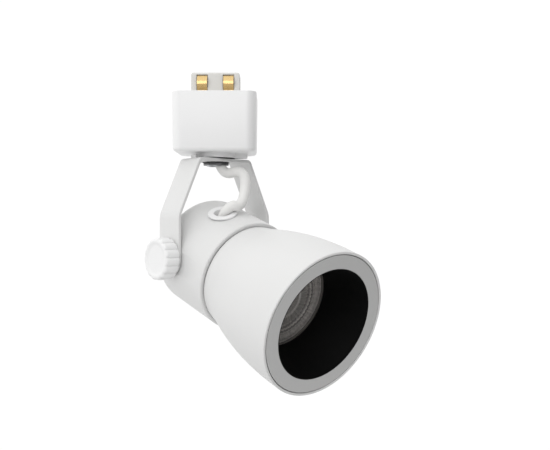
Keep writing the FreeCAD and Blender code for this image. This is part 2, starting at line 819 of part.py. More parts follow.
def knob_grip():
    body = new_body("knob_grip", side_placement())
    low = -size("leg_half") - 0.3 - size("knob_depth")
    high = -size("leg_half") - 0.3
    wide = size("knob_radius")
    corners = [(0, low + 0.55), (6.9, low + 0.55), (7.9, low), (wide - 1.2, low), (wide, low + 1.2)]
    corners += [(wide, high - 0.9), (wide - 0.9, high), (0, high)]
    turned(body, corners)
    made = sketch(body, "XY_Plane", high + 1.0)
    circle(made, wide + 0.55, 0, 1.25)
    notch = pocket(body, made, size("knob_depth") + 2.0)
    round_pattern(body, notch, 15)
    made = sketch(body, "XY_Plane", high + 1.0)
    circle(made, 0, 0, size("stud_radius") + 0.02)
    pocket(body, made, 5.5)


def knob_stud():
    low = -size("leg_half") - 4.7
    shaft = cylinder(size("stud_radius"), low, -size("boss_reach") - 0.5)
    keep(shaft, "knob_stud")
    placed = side_placement()
    shaft.setExpression("Placement.Base.x", None)
    shaft.setExpression("Placement.Base.y", None)
    shaft.setExpression("Placement.Base.z", None)
    shaft.Placement = placed * FreeCAD.Placement(V(0, 0, low.value), FreeCAD.Rotation())


def lamp_leads():
    """Insulated wires from the cable's end inside the head to the back of the lamp holder."""
    shapes = []
    for side in (-1.0, 1.0):
        x = 1.1 * side
        corners = [(-8.1 + x, 20.2, 7.2), (-8.6 + x, 17.4, -2.0), (-8.6 + x, 15.0, -8.6)]
        corners += [(-8.6 + x, 4.0, -8.6), (-8.6 + x, 4.0, -4.3)]
        shapes.append(lead(corners, [2.0, 2.0, 1.6]))
    shape_node("lamp_leads", shapes, head_placement())


def lamp_body():
    body = new_body("lamp_body", head_placement())
    base = size("lamp_base")
    front = size("lamp_front")
    wide = size("lamp_radius")
    corners = [(0, base), (13.2, base), (13.2, base + 12.0), (15.6, base + 16.5), (wide - 0.9, front - 5.0)]
    corners += [(wide - 0.9, front - 3.6), (wide - 2.2, front - 3.6), (wide - 2.4, front - 5.2)]
    corners += [(14.0, base + 18.2), (0, base + 18.2)]
    turned(body, corners)
    made = sketch(body, "XY_Plane", base + 12.5)
    rectangle(made, 13.9, 30.0, -0.9, 0.9)
    fin = pocket(body, made, 20.0, up=True)
    round_pattern(body, fin, 18)


def lamp_bezel():
    body = new_body("lamp_bezel", head_placement())
    front = size("lamp_front")
    wide = size("lamp_radius")
    corners = [(22.3, front), (wide, front - 0.6), (wide, front - 3.5), (23.9, front - 3.5)]
    corners += [(23.9, front - 2.3), (22.3, front - 1.0)]
    turned(body, corners)


def lamp_lens():
    body = new_body("lamp_lens", head_placement())
    front = size("lamp_front")
    turned(body, [(0, front - 0.35), (22.1, front - 1.1), (23.6, front - 2.5), (23.6, front - 3.4), (0, front - 3.4)])


def led_board():
    base = size("lamp_base") + 18.25
    disc = cylinder(12.5, base, base + 1.0)
    chips = [cylinder(1.6, base + 0.9, base + 2.2, 0, 0)]
    for i in range(6):
        angle = math.radians(60.0 * i)
        chips.append(cylinder(1.6, base + 0.9, base + 2.2, 7.0 * math.cos(angle), 7.0 * math.sin(angle)))
    keep(fuse(disc, *chips), "led_board", head_placement())


def lamp_pins():
    base = size("lamp_base")
    pins = []
    for side in (1.0, -1.0):
        y = size("pin_offset") * side
        shaft = cylinder(1.5, base - 6.5, base - 0.02, 0, y)
        foot = cylinder(2.4, base - 6.9, base - 4.4, 0, y)
        pins.append(fuse(shaft, foot))
    keep(group(*pins), "lamp_pins", head_placement())


def trim_ring():
    body = new_body("trim_ring", head_placement())
    front = size("bell_front") - 0.1
    wide = size("ring_outer")
    open_r = size("ring_inner")
    low = front - size("ring_depth")
    corners = [(open_r + 0.5, front), (wide, front), (wide, low), (open_r + 2.3, low)]
    corners += [(open_r + 2.3, low - 5.0), (open_r + 1.3, low - 5.0), (open_r + 1.3, low), (open_r, low)]
    corners += [(open_r, front - 0.5)]
    turned(body, corners)


def baffle():
    body = new_body("baffle", head_placement())
    top = size("bell_front") - 0.1 - size("ring_depth") - 0.05
    back = size("baffle_back")
    waist = size("baffle_waist")
    mouth = size("ring_inner")
    corners = [(waist, back), (waist + 3.0, back), (waist + 3.0, back + 1.0), (waist + 1.1, back + 1.0)]
    corners += [(mouth + 1.1, top - 3.0), (mouth + 1.1, top), (mouth + 0.1, top), (mouth + 0.1, top - 2.5)]
    corners += [(waist, back + 1.2)]
    turned(body, corners)


def check_and_export():
    """Stop on any feature in error or any shape that is not valid, then write every sub-part."""
    doc.recompute()
    bad = [o.Name for o in doc.Objects if "Invalid" in o.State or "Error" in o.State]
    if bad:
        raise ValueError(f"in error: {bad}")
    os.makedirs("parts", exist_ok=True)
    for label, item in nodes:
        shape = item.Shape
        if shape.isNull() or not shape.isValid() or not shape.Solids:
            raise ValueError(f"{label}: its shape is not a valid solid")
        shape.exportStep(f"parts/{label}.step")
    print("sub-parts", len(nodes))


def main():
    fill_sheet()
    adapter_housing()
    adapter_cover()
    contact_tower()
    contact("live_contact", -6.5, -1)
    contact("ground_contact", 6.5, -1)
    contact("neutral_contact", 0.0, 1)
    cover_screws()
    swivel_fixings()
    lock_tab()
    lock_spring()
    adapter_leads()
    yoke_bracket()
    swivel_washer()
    supply_cable()
    rear_housing()
    bell_shade()
    bell_screws()
    grommet()
    lamp_holder()
    holder_bracket()
    bracket_screws()
    pivot_screw()
    pivot_insert()
    lamp_leads()
    knob_grip()
    knob_stud()
    lamp_body()
    lamp_bezel()
    lamp_lens()
    led_board()
    lamp_pins()
    trim_ring()
    baffle()
    check_and_export()


main()
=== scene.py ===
"""Track spotlight: the visible pieces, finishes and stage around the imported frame. Metres throughout."""

import json
import math

import bpy
from bpy.props import FloatProperty, FloatVectorProperty, IntProperty, PointerProperty
from mathutils import Matrix, Vector


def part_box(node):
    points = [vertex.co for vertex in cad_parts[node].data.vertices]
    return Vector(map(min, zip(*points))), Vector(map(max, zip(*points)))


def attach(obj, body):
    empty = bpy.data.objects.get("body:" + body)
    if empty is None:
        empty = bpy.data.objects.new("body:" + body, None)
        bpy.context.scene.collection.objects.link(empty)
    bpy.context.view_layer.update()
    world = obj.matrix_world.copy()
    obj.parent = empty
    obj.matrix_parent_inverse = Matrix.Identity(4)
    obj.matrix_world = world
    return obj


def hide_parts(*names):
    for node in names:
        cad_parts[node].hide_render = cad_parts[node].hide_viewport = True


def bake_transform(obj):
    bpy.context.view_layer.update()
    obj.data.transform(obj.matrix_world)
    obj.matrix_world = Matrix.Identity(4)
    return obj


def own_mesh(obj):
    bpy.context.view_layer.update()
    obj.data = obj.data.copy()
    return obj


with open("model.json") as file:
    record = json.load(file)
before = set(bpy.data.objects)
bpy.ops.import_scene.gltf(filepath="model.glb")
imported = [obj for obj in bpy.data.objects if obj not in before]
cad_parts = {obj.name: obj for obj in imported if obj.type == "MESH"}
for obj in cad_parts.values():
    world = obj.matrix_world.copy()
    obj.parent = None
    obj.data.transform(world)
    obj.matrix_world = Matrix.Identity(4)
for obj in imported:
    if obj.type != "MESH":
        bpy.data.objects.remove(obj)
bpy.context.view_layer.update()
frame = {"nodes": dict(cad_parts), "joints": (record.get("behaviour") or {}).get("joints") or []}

bl_info = {
    "name": "Track Spotlight",
    "version": (1, 0, 0),
    "blender": (4, 5, 0),
    "location": "3D View > Sidebar > Spotlight",
    "description": "Builds a track spotlight's visible pieces around its packed frame",
    "category": "Object",
}

JOINTS = {joint["name"]: joint for joint in frame["joints"]}
MM = 0.001

# The supply cable's corners from inside the adapter to inside the head.
CABLE_ROUTE = [
    (0.0, 0.0, -0.0210),
    (0.0008, -0.0003, -0.0409),
    (0.0156, -0.0065, -0.0364),
    (0.0143, -0.0179, -0.0563),
    (0.0070, -0.02035, -0.0547),
    (0.0031, -0.01585, -0.06352),
]


# ---------------------------------------------------------------- the object's own frames


def axes_matrix(x_axis, z_axis, origin):
    """A matrix whose Z and X follow the two axes, at the origin given."""
    z_axis = Vector(z_axis).normalized()
    x_axis = Vector(x_axis).normalized()
    y_axis = z_axis.cross(x_axis)
    turned = Matrix((x_axis, y_axis, z_axis)).transposed().to_4x4()
    return Matrix.Translation(Vector(origin)) @ turned


PIVOT = Vector(JOINTS["tilt"]["pos_m"])
TILT_AXIS = Vector(JOINTS["tilt"]["axis"])
LAMP_AXIS = Vector(JOINTS["trim_pull"]["axis"])
HEAD = axes_matrix(TILT_AXIS, LAMP_AXIS, PIVOT)
YOKE = axes_matrix(TILT_AXIS, (0, 0, 1), (0, 0, 0))
SIDE = HEAD @ Matrix.Rotation(math.radians(90), 4, "Y")


def span(node, place):
    """A CAD node's (lowest, highest) height and (smallest, largest) radius in a local frame."""
    back = place.inverted()
    spots = [back @ vertex.co for vertex in frame["nodes"][node].data.vertices]
    heights = [spot.z for spot in spots]
    radii = [math.hypot(spot.x, spot.y) for spot in spots]
    return min(heights), max(heights), min(radii), max(radii)


def grommet_frame():
    """The cable entry's frame: its centre is the middle of the CAD grommet, its Z the housing's normal."""
    mesh = frame["nodes"]["grommet"].data
    low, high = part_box("grommet")
    middle = HEAD.inverted() @ ((low + high) / 2)
    angle = math.atan2(-middle.x, middle.y)
    out = Vector((-math.sin(angle), math.cos(angle), 0.0))
    spots = [HEAD.inverted() @ vertex.co for vertex in mesh.vertices]
    along = (min(s.z for s in spots) + max(s.z for s in spots)) / 2
    local = axes_matrix((0, 0, 1), out, (0, 0, along))
    return HEAD @ local


# ---------------------------------------------------------------- sizes and colours


class SpotlightSizes(bpy.types.PropertyGroup):
    """Sizes of the visible pieces that a user may change."""

    edge: FloatProperty(
        name="Edge rounding", description="Radius of the softened sheet and moulding edges",
        default=0.00028, unit="LENGTH")
    cable: FloatProperty(
        name="Cable diameter", description="Outer diameter of the sleeved supply cable",
        default=0.0050, unit="LENGTH")
    cable_length: FloatProperty(
        name="Cable length", description="Length of the supply cable from adapter to head",
        default=0.0692, unit="LENGTH")
    lobes: IntProperty(name="Knob lobes", description="Number of finger lobes round the knob", default=15)
    facets: IntProperty(name="Lens facets", description="Number of facets in the lamp lens's ring", default=48)
    segments: IntProperty(name="Round segments", description="Sides of each turned piece", default=160)


class SpotlightColours(bpy.types.PropertyGroup):
    """Base colours of the finishes that a user may change."""

    enamel: FloatVectorProperty(
        name="Enamel", description="White powder coat of the head and yoke", subtype="COLOR",
        default=(0.74, 0.74, 0.735))
    moulding: FloatVectorProperty(
        name="Moulding", description="White plastic of the adapter and knob", subtype="COLOR",
        default=(0.86, 0.86, 0.86))
    # The trim ring's grey is painted shade: the ring is the bell's white, darkened to stand in for the light its
    # front face misses.
    ring: FloatVectorProperty(
        name="Trim ring", description="Grey lacquer of the trim ring", subtype="COLOR",
        default=(0.54, 0.54, 0.535))
    black: FloatVectorProperty(
        name="Baffle", description="Matte black of the anti-glare baffle", subtype="COLOR",
        default=(0.003, 0.003, 0.003))
    sleeve: FloatVectorProperty(
        name="Sleeve", description="Off-white braided sleeve of the supply cable", subtype="COLOR",
        default=(0.84, 0.835, 0.82))
    lens: FloatVectorProperty(
        name="Lens", description="Smoked plastic of the unlit lamp lens", subtype="COLOR",
        default=(0.36, 0.34, 0.325))


def sizes():
    return bpy.context.scene.spotlight_sizes


def colours():
    return bpy.context.scene.spotlight_colours


# ---------------------------------------------------------------- shader building


class Value:
    """A shader socket that takes part in Python arithmetic by adding Math nodes."""

    def __init__(self, finish, socket):
        self.finish = finish
        self.socket = socket

    def _math(self, operation, *others):
        made = self.finish.node("ShaderNodeMath", {"operation": operation}, list(others))
        return Value(self.finish, made.outputs[0])

    def __add__(self, other):
        return self._math("ADD", self, other)

    def __radd__(self, other):
        return self._math("ADD", other, self)

    def __sub__(self, other):
        return self._math("SUBTRACT", self, other)

    def __rsub__(self, other):
        return self._math("SUBTRACT", other, self)

    def __mul__(self, other):
        return self._math("MULTIPLY", self, other)

    def __rmul__(self, other):
        return self._math("MULTIPLY", other, self)

    def __truediv__(self, other):
        return self._math("DIVIDE", self, other)

    def __pow__(self, other):
        return self._math("POWER", self, other)

    def sine(self):
        return self._math("SINE")

    def size(self):
        return self._math("ABSOLUTE")

    def angle_to(self, other):
        return self._math("ARCTAN2", self, other)

    def over(self, limit):
        return self._math("GREATER_THAN", self, limit)


class Finish:
    """One material: its nodes are added through node(), and its surface is one Principled shader."""

    def __init__(self, name, colour, roughness, metallic=0.0):
        self.material = bpy.data.materials.new(name)
        self.material.use_nodes = True
        self.tree = self.material.node_tree
        self.surface = self.tree.nodes["Principled BSDF"]
        self.colour = (*colour, 1.0)
        self.set("Base Color", self.colour)
        self.set("Roughness", roughness)
        self.set("Metallic", metallic)
        self.material.diffuse_color = self.colour

    def set(self, name, value):
        """A number or colour that is the same all over the surface."""
        self.surface.inputs[name].default_value = value

    def node(self, kind, settings=None, inputs=()):
        """A node of this kind with its settings made first, then its inputs linked or filled."""
        made = self.tree.nodes.new(kind)
        for name, value in (settings or {}).items():
            if name == "stops":
                self._stops(made.color_ramp, value)
            else:
                setattr(made, name, value)
        pairs = inputs.items() if isinstance(inputs, dict) else enumerate(inputs)
        for name, value in pairs:
            self.feed(made.inputs[name], value)
        return made

    @staticmethod
    def _stops(ramp, stops):
        while len(ramp.elements) < len(stops):
            ramp.elements.new(0.5)
        for element, (place, colour) in zip(ramp.elements, stops):
            element.position = place
            element.color = colour

    def feed(self, socket, value):
        """Link a socket or a Value to an input, or set a plain number or vector on it."""
        if isinstance(value, Value):
            self.tree.links.new(value.socket, socket)
        elif isinstance(value, bpy.types.NodeSocket):
            self.tree.links.new(value, socket)
        else:
            socket.default_value = value

    def places(self):
        """The piece's own coordinates, in metres."""
        return self.node("ShaderNodeTexCoord").outputs["Object"]

    def noise(self, scale, detail=3.0, rough=0.5, vector=None):
        """A grain of this many cells to the metre, as a Value."""
        vector = self.places() if vector is None else vector
        made = self.node(
            "ShaderNodeTexNoise", {"noise_dimensions": "3D"},
            {"Vector": vector, "Scale": scale, "Detail": detail, "Roughness": rough})
        return Value(self, made.outputs[0])

    def radius(self, place):
        """The distance from a local frame's Z axis, as a Value."""
        offset = self.node(
            "ShaderNodeVectorMath", {"operation": "SUBTRACT"}, [self.places(), place.translation])
        across = self.node(
            "ShaderNodeVectorMath", {"operation": "CROSS_PRODUCT"},
            [offset.outputs[0], place.to_3x3().col[2]])
        made = self.node("ShaderNodeVectorMath", {"operation": "LENGTH"}, [across.outputs[0]])
        return Value(self, made.outputs["Value"])

    def along(self, place, axis):
        """The coordinate along one of a local frame's axes, as a Value."""
        offset = self.node(
            "ShaderNodeVectorMath", {"operation": "SUBTRACT"}, [self.places(), place.translation])
        made = self.node(
            "ShaderNodeVectorMath", {"operation": "DOT_PRODUCT"},
            [offset.outputs[0], place.to_3x3().col[axis]])
        return Value(self, made.outputs["Value"])

    def attribute(self, name):
        made = self.node("ShaderNodeAttribute", {"attribute_name": name})
        return Value(self, made.outputs["Fac"])

    def tint(self, amount, dark, light):
        """Let the base colour drift between two shares of itself with the amount."""
        ends = [tuple(c * share for c in self.colour[:3]) + (1.0,) for share in (dark, light)]
        made = self.node("ShaderNodeMix", {"data_type": "RGBA"})
        self.feed(made.inputs[0], amount)
        made.inputs[6].default_value = ends[0]
        made.inputs[7].default_value = ends[1]
        self.tree.links.new(made.outputs[2], self.surface.inputs["Base Color"])

    def rough(self, value):
        self.feed(self.surface.inputs["Roughness"], value)

    def bump(self, height, depth, strength=1.0):
        """Raise the surface by the height's value times the depth in metres."""
        made = self.node(
            "ShaderNodeBump", {}, {"Strength": strength, "Distance": depth, "Height": height})
        self.tree.links.new(made.outputs[0], self.surface.inputs["Normal"])


FINISHES = {}


def finish_named(name):
    """The finish of this name, made on first use."""
    if name not in FINISHES:
        FINISHES[name] = MAKERS[name]().material
    return FINISHES[name]


def powder_coat():
    """White powder coat: soft orange peel with a faint drift of gloss."""
    made = Finish("powder_coat", colours().enamel, 0.42)
    made.set("Specular IOR Level", 0.42)
    peel = made.noise(1500.0, 2.0)
    fine = made.noise(5200.0, 2.0)
    cloud = made.noise(55.0, 2.0)
    made.tint(cloud, 0.985, 1.0)
    made.rough(0.36 + 0.10 * cloud + 0.05 * fine)
    made.bump(peel * 0.7 + fine * 0.3, 0.000030, 0.55)
    return made


def moulded_white():
    """White moulded plastic with a fine spark-eroded grain."""
    made = Finish("moulded_white", colours().moulding, 0.38)
    grain = made.noise(7000.0, 2.0)
    cloud = made.noise(70.0, 2.0)
    made.tint(cloud, 0.99, 1.0)
    made.rough(0.33 + 0.10 * grain)
    made.bump(grain, 0.000016, 0.5)
    return made


def ring_lacquer_painted_shade():
    """Grey lacquer over turned metal: faint rings left by the lathe. The grey is painted shade: the ring is white
    like the bell, darkened for the light its front face misses.
    """
    made = Finish("ring_lacquer_painted_shade", colours().ring, 0.40, 0.15)
    radius = made.radius(HEAD)
    line = made.node("ShaderNodeCombineXYZ", {}, [radius * 9000.0, 0.0, 0.0]).outputs[0]
    turning = made.noise(1.0, 3.0, 0.6, line)
    flake = made.noise(6500.0, 2.0)
    made.tint(turning * 0.5 + flake * 0.5, 0.93, 1.06)
    made.rough(0.34 + 0.10 * turning)
    made.bump(turning * 0.7 + flake * 0.3, 0.000012, 0.5)
    return made


def baffle_black():
    """Deep matte black with a fine dry grain."""
    made = Finish("baffle_black", colours().black, 0.55)
    made.set("Specular IOR Level", 0.12)
    grain = made.noise(5200.0, 3.0)
    made.tint(grain, 0.7, 1.5)
    made.rough(0.50 + 0.14 * grain)
    made.bump(grain, 0.000030, 0.5)
    return made


def braided_sleeve():
    """Off-white glass-fibre sleeve: two sets of strands cross round the cable."""
    made = Finish("braided_sleeve", colours().sleeve, 0.62)
    made.set("Sheen Weight", 0.12)
    turn = made.attribute("turn_sin").angle_to(made.attribute("turn_cos"))
    run = made.attribute("run_m") * 2600.0
    left = (turn * 8.0 + run).sine()
    right = (turn * 8.0 - run).sine()
    weave = (left * right).size()
    dust = made.noise(260.0, 3.0)
    made.tint(weave * 0.5 + dust * 0.5, 0.93, 1.02)
    made.rough(0.56 + 0.12 * weave)
    made.bump(weave, 0.00005, 0.35)
    return made


def soft_white():
    """White silicone of the cable entry."""
    made = Finish("soft_white", colours().moulding, 0.48)
    grain = made.noise(3800.0, 2.0)
    made.tint(grain, 0.98, 1.02)
    made.rough(0.44 + 0.10 * grain)
    made.bump(grain, 0.000014, 0.4)
    return made


def plated(name, colour, roughness):
    """Plated metal with rubbed marks."""
    made = Finish(name, colour, roughness, 1.0)
    rubbed = made.noise(900.0, 5.0, 0.65)
    spot = made.noise(140.0, 3.0)
    made.tint(spot, 0.82, 1.05)
    made.rough(roughness + 0.14 * (rubbed - 0.5))
    made.bump(rubbed, 0.00001, 0.5)
    return made


def bright_zinc():
    return plated("bright_zinc", (0.62, 0.63, 0.65), 0.30)


def black_oxide():
    return plated("black_oxide", (0.17, 0.17, 0.175), 0.34)


def contact_brass():
    return plated("contact_brass", (0.72, 0.52, 0.24), 0.28)


def cast_alloy():
    return plated("cast_alloy", (0.55, 0.56, 0.57), 0.40)


def plain(name, colour, roughness, grain_size=4000.0):
    """A moulded or cast surface with a fine grain."""
    made = Finish(name, colour, roughness)
    grain = made.noise(grain_size, 3.0)
    made.tint(grain, 0.94, 1.04)
    made.rough(roughness + 0.12 * (grain - 0.5))
    made.bump(grain, 0.00002, 0.4)
    return made


def insulator():
    return plain("insulator", (0.72, 0.71, 0.68), 0.5)


def fibre():
    return plain("fibre", (0.05, 0.05, 0.05), 0.7, 2200.0)


def ceramic():
    return plain("ceramic", (0.80, 0.77, 0.70), 0.55, 2600.0)


def wire_skin():
    return plain("wire_skin", (0.62, 0.61, 0.58), 0.45)


def led_yellow():
    return plain("led_yellow", (0.62, 0.47, 0.10), 0.35, 3000.0)


def bezel_grey():
    """Smoked plastic of the lamp's rim."""
    made = Finish("bezel_grey", (0.24, 0.225, 0.21), 0.34)
    grain = made.noise(4200.0, 2.0)
    made.tint(grain, 0.85, 1.15)
    made.rough(0.28 + 0.10 * grain)
    made.bump(grain, 0.000012, 0.4)
    return made


def lens_smoke_and_highlights():
    """Unlit lamp lens: rings of moulded facets over a dim reflector, with painted highlights: bright rings on the
    facet ridges and a glint across each facet.
    """
    made = Finish("lens_smoke_and_highlights", colours().lens, 0.18)
    made.set("Coat Weight", 0.6)
    made.set("Coat Roughness", 0.08)
    radius = made.radius(HEAD) / 0.0218
    turn = made.along(HEAD, 1).angle_to(made.along(HEAD, 0))
    # Ring greys across the lens's radius: the peaks at 0.61, 0.70 and 0.79 are painted highlights on the facet
    # ridges, and the other stops are the lens's smoked tone in its zones.
    grey = [(0.0, 0.60), (0.38, 0.46), (0.42, 0.70), (0.46, 0.40), (0.58, 0.42), (0.61, 1.0), (0.64, 0.34),
            (0.675, 0.30), (0.70, 0.95), (0.725, 0.30), (0.76, 0.32), (0.79, 0.98), (0.82, 0.50), (0.86, 0.62),
            (0.97, 0.56), (1.0, 0.74)]
    ring_tones_and_highlights = made.node(
        "ShaderNodeValToRGB", {"stops": [(place, (v, v, v, 1.0)) for place, v in grey]}, [radius])
    streak = made.node("ShaderNodeCombineXYZ", {}, [turn * 22.0, radius * 5.0, 0.0]).outputs[0]
    rays = made.noise(1.0, 2.0, 0.5, streak)
    # Painted glints: this wave brightens the 36 facets round the lens, one peak on each, and it also shapes their
    # bump.
    facets = (turn * 36.0).sine() * 0.5 + 0.5
    made.tint(Value(made, ring_tones_and_highlights.outputs[0]) * (rays * 0.9 + facets * 0.25 + 0.25), 0.25, 2.7)
    made.rough(0.16 + 0.16 * rays)
    made.bump(rays * 0.5 + facets * 0.5, 0.00008, 0.45)
    return made


MAKERS = {
    "powder_coat": powder_coat,
    "moulded_white": moulded_white,
    "ring_lacquer_painted_shade": ring_lacquer_painted_shade,
    "baffle_black": baffle_black,
    "braided_sleeve": braided_sleeve,
    "soft_white": soft_white,
    "bright_zinc": bright_zinc,
    "black_oxide": black_oxide,
    "contact_brass": contact_brass,
    "cast_alloy": cast_alloy,
    "insulator": insulator,
    "fibre": fibre,
    "ceramic": ceramic,
    "wire_skin": wire_skin,
    "led_yellow": led_yellow,
    "bezel_grey": bezel_grey,
    "lens_smoke_and_highlights": lens_smoke_and_highlights,
}


# ---------------------------------------------------------------- modelling


def deselect_all():
    if bpy.context.mode != "OBJECT":
        bpy.ops.object.mode_set(mode="OBJECT")
    bpy.ops.object.select_all(action="DESELECT")


def start(name):
    """Name the primitive that was just added and go into edit mode on it."""
    piece = bpy.context.active_object
    piece.name = name
    piece.data.name = name
    bpy.ops.object.mode_set(mode="EDIT")
    return piece


def choose(piece, kind, wanted):
    """In edit mode, select only the vertices, edges or faces that the test picks."""
    bpy.ops.mesh.select_all(action="DESELECT")
    bpy.ops.mesh.select_mode(type=kind)
    bpy.ops.object.mode_set(mode="OBJECT")
    mesh = piece.data
    items = {"VERT": mesh.vertices, "EDGE": mesh.edges, "FACE": mesh.polygons}[kind]
    count = 0
    for item in items:
        if kind == "EDGE":
            ends = [mesh.vertices[i].co for i in item.vertices]
            item.select = wanted(ends[0], ends[1])
        elif kind == "VERT":
            item.select = wanted(item.co)
        else:
            item.select = wanted(item.center, item.normal)
        count += item.select
    bpy.ops.object.mode_set(mode="EDIT")
    if not count:
        raise RuntimeError(f"{piece.name}: nothing to select")


def modify(piece, kind, **settings):
    """Add a modifier to the piece and apply it."""
    bpy.context.view_layer.objects.active = piece
    made = piece.modifiers.new(kind.title(), kind)
    for name, value in settings.items():
        setattr(made, name, value)
    bpy.ops.object.modifier_apply(modifier=made.name)


def soften(piece, width, angle=40.0, segments=3):
    """Round the piece's sharp edges."""
    modify(piece, "BEVEL", width=width, segments=segments, limit_method="ANGLE",
           angle_limit=math.radians(angle), harden_normals=False)


def done(piece, place, finish, body, replaced=(), angle=32.0):
    """Put a finished piece in place, smooth it, give it its finish and let it ride on its body."""
    if bpy.context.mode != "OBJECT":
        bpy.ops.object.mode_set(mode="OBJECT")
    bpy.ops.object.select_all(action="DESELECT")
    piece.select_set(True)
    bpy.context.view_layer.objects.active = piece
    piece.matrix_world = place @ piece.matrix_world
    bpy.ops.object.transform_apply(location=True, rotation=True, scale=True)
    bpy.ops.object.shade_smooth_by_angle(angle=math.radians(angle))
    piece.data.materials.clear()
    piece.data.materials.append(finish_named(finish))
    if replaced:
        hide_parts(*replaced)
    if body:
        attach(piece, body)
    return piece


def turn_profile(name, stations, segments, first_cap=False, last_cap=False, shape=None):
    """A turned solid about Z: a circle carried through (radius, height) stations by extrude and resize."""
    deselect_all()
    radius, height = stations[0]
    bpy.ops.mesh.primitive_circle_add(
        vertices=segments, radius=radius, location=(0, 0, 0),
        fill_type="NGON" if first_cap else "NOTHING")
    piece = start(name)
    bpy.ops.transform.translate(value=(0, 0, height))
    if first_cap:
        choose(piece, "EDGE", lambda a, b: True)
    if shape:
        shape(piece, 0)
    for index, (new_radius, new_height) in enumerate(stations[1:], start=1):
        bpy.ops.mesh.extrude_edges_move(TRANSFORM_OT_translate={"value": (0, 0, new_height - height)})
        share = new_radius / radius
        bpy.ops.transform.resize(value=(share, share, 1), center_override=(0, 0, 0))
        radius, height = new_radius, new_height
        if shape:
            shape(piece, index)
    if last_cap:
        bpy.ops.mesh.edge_face_add()
    bpy.ops.mesh.select_all(action="SELECT")
    bpy.ops.mesh.remove_doubles(threshold=1e-6)
    bpy.ops.mesh.normals_make_consistent(inside=False)
    bpy.ops.object.mode_set(mode="OBJECT")
    return piece


def rounded(stations, corners, steps=5):
    """The stations with some corners, given as {index: radius}, replaced by arcs."""
    made = []
    count = len(stations)
    for i, spot in enumerate(stations):
        if i not in corners:
            made.append(spot)
            continue
        here = Vector(spot)
        back = (Vector(stations[i - 1]) - here).normalized()
        ahead = (Vector(stations[(i + 1) % count]) - here).normalized()
        half = back.angle(ahead) / 2
        reach = corners[i] / math.tan(half)
        centre = here + (back + ahead).normalized() * corners[i] / math.sin(half)
        first = here + back * reach - centre
        last = here + ahead * reach - centre
        sweep = first.angle_signed(last)
        for step in range(steps + 1):
            turned = first.copy()
            turned.rotate(Matrix.Rotation(-sweep * step / steps, 2))
            made.append(tuple(centre + turned))
    return made


def closed(stations):
    """A ring's stations, ending where they began."""
    return stations + [stations[0]]


def box_piece(name, low, high):
    """A cube primitive stretched between two corners, left in edit mode."""
    deselect_all()
    low, high = Vector(low), Vector(high)
    bpy.ops.mesh.primitive_cube_add(size=1, location=(0, 0, 0))
    piece = start(name)
    bpy.ops.transform.resize(value=tuple(high - low), center_override=(0, 0, 0))
    bpy.ops.transform.translate(value=tuple((low + high) / 2))
    return piece


def take_away(piece, tool):
    """Cut the tool's solid out of the piece."""
    bpy.ops.object.mode_set(mode="OBJECT")
    modify(piece, "BOOLEAN", object=tool, operation="DIFFERENCE", solver="EXACT")
    bpy.data.objects.remove(tool)


def drill(name, radius, low, high, place, segments=48):
    """A plain drill used to cut a hole, placed in a local frame."""
    deselect_all()
    bpy.ops.mesh.primitive_cylinder_add(
        vertices=segments, radius=radius, depth=high - low, location=(0, 0, (low + high) / 2))
    tool = bpy.context.active_object
    tool.name = name
    tool.matrix_world = place @ tool.matrix_world
    bpy.context.view_layer.update()
    return tool


# ---------------------------------------------------------------- operators: camera, cable and pieces


class SPOTLIGHT_OT_camera(bpy.types.Operator):
    """Place the camera that looks level along +Y, a little to the right of the adapter"""

    bl_idname = "spotlight.camera"
    bl_label = "Camera"

    def execute(self, context):
        data = bpy.data.cameras.new("Camera")
        data.sensor_width = 36.0
        data.lens = 53.9345
        data.clip_start = 0.01
        camera = bpy.data.objects.new("Camera", data)
        context.scene.collection.objects.link(camera)
        camera.location = (0.0295, -0.4124, -0.0646)
        camera.rotation_euler = (math.radians(90), 0, 0)
        context.scene.camera = camera
        return {"FINISHED"}


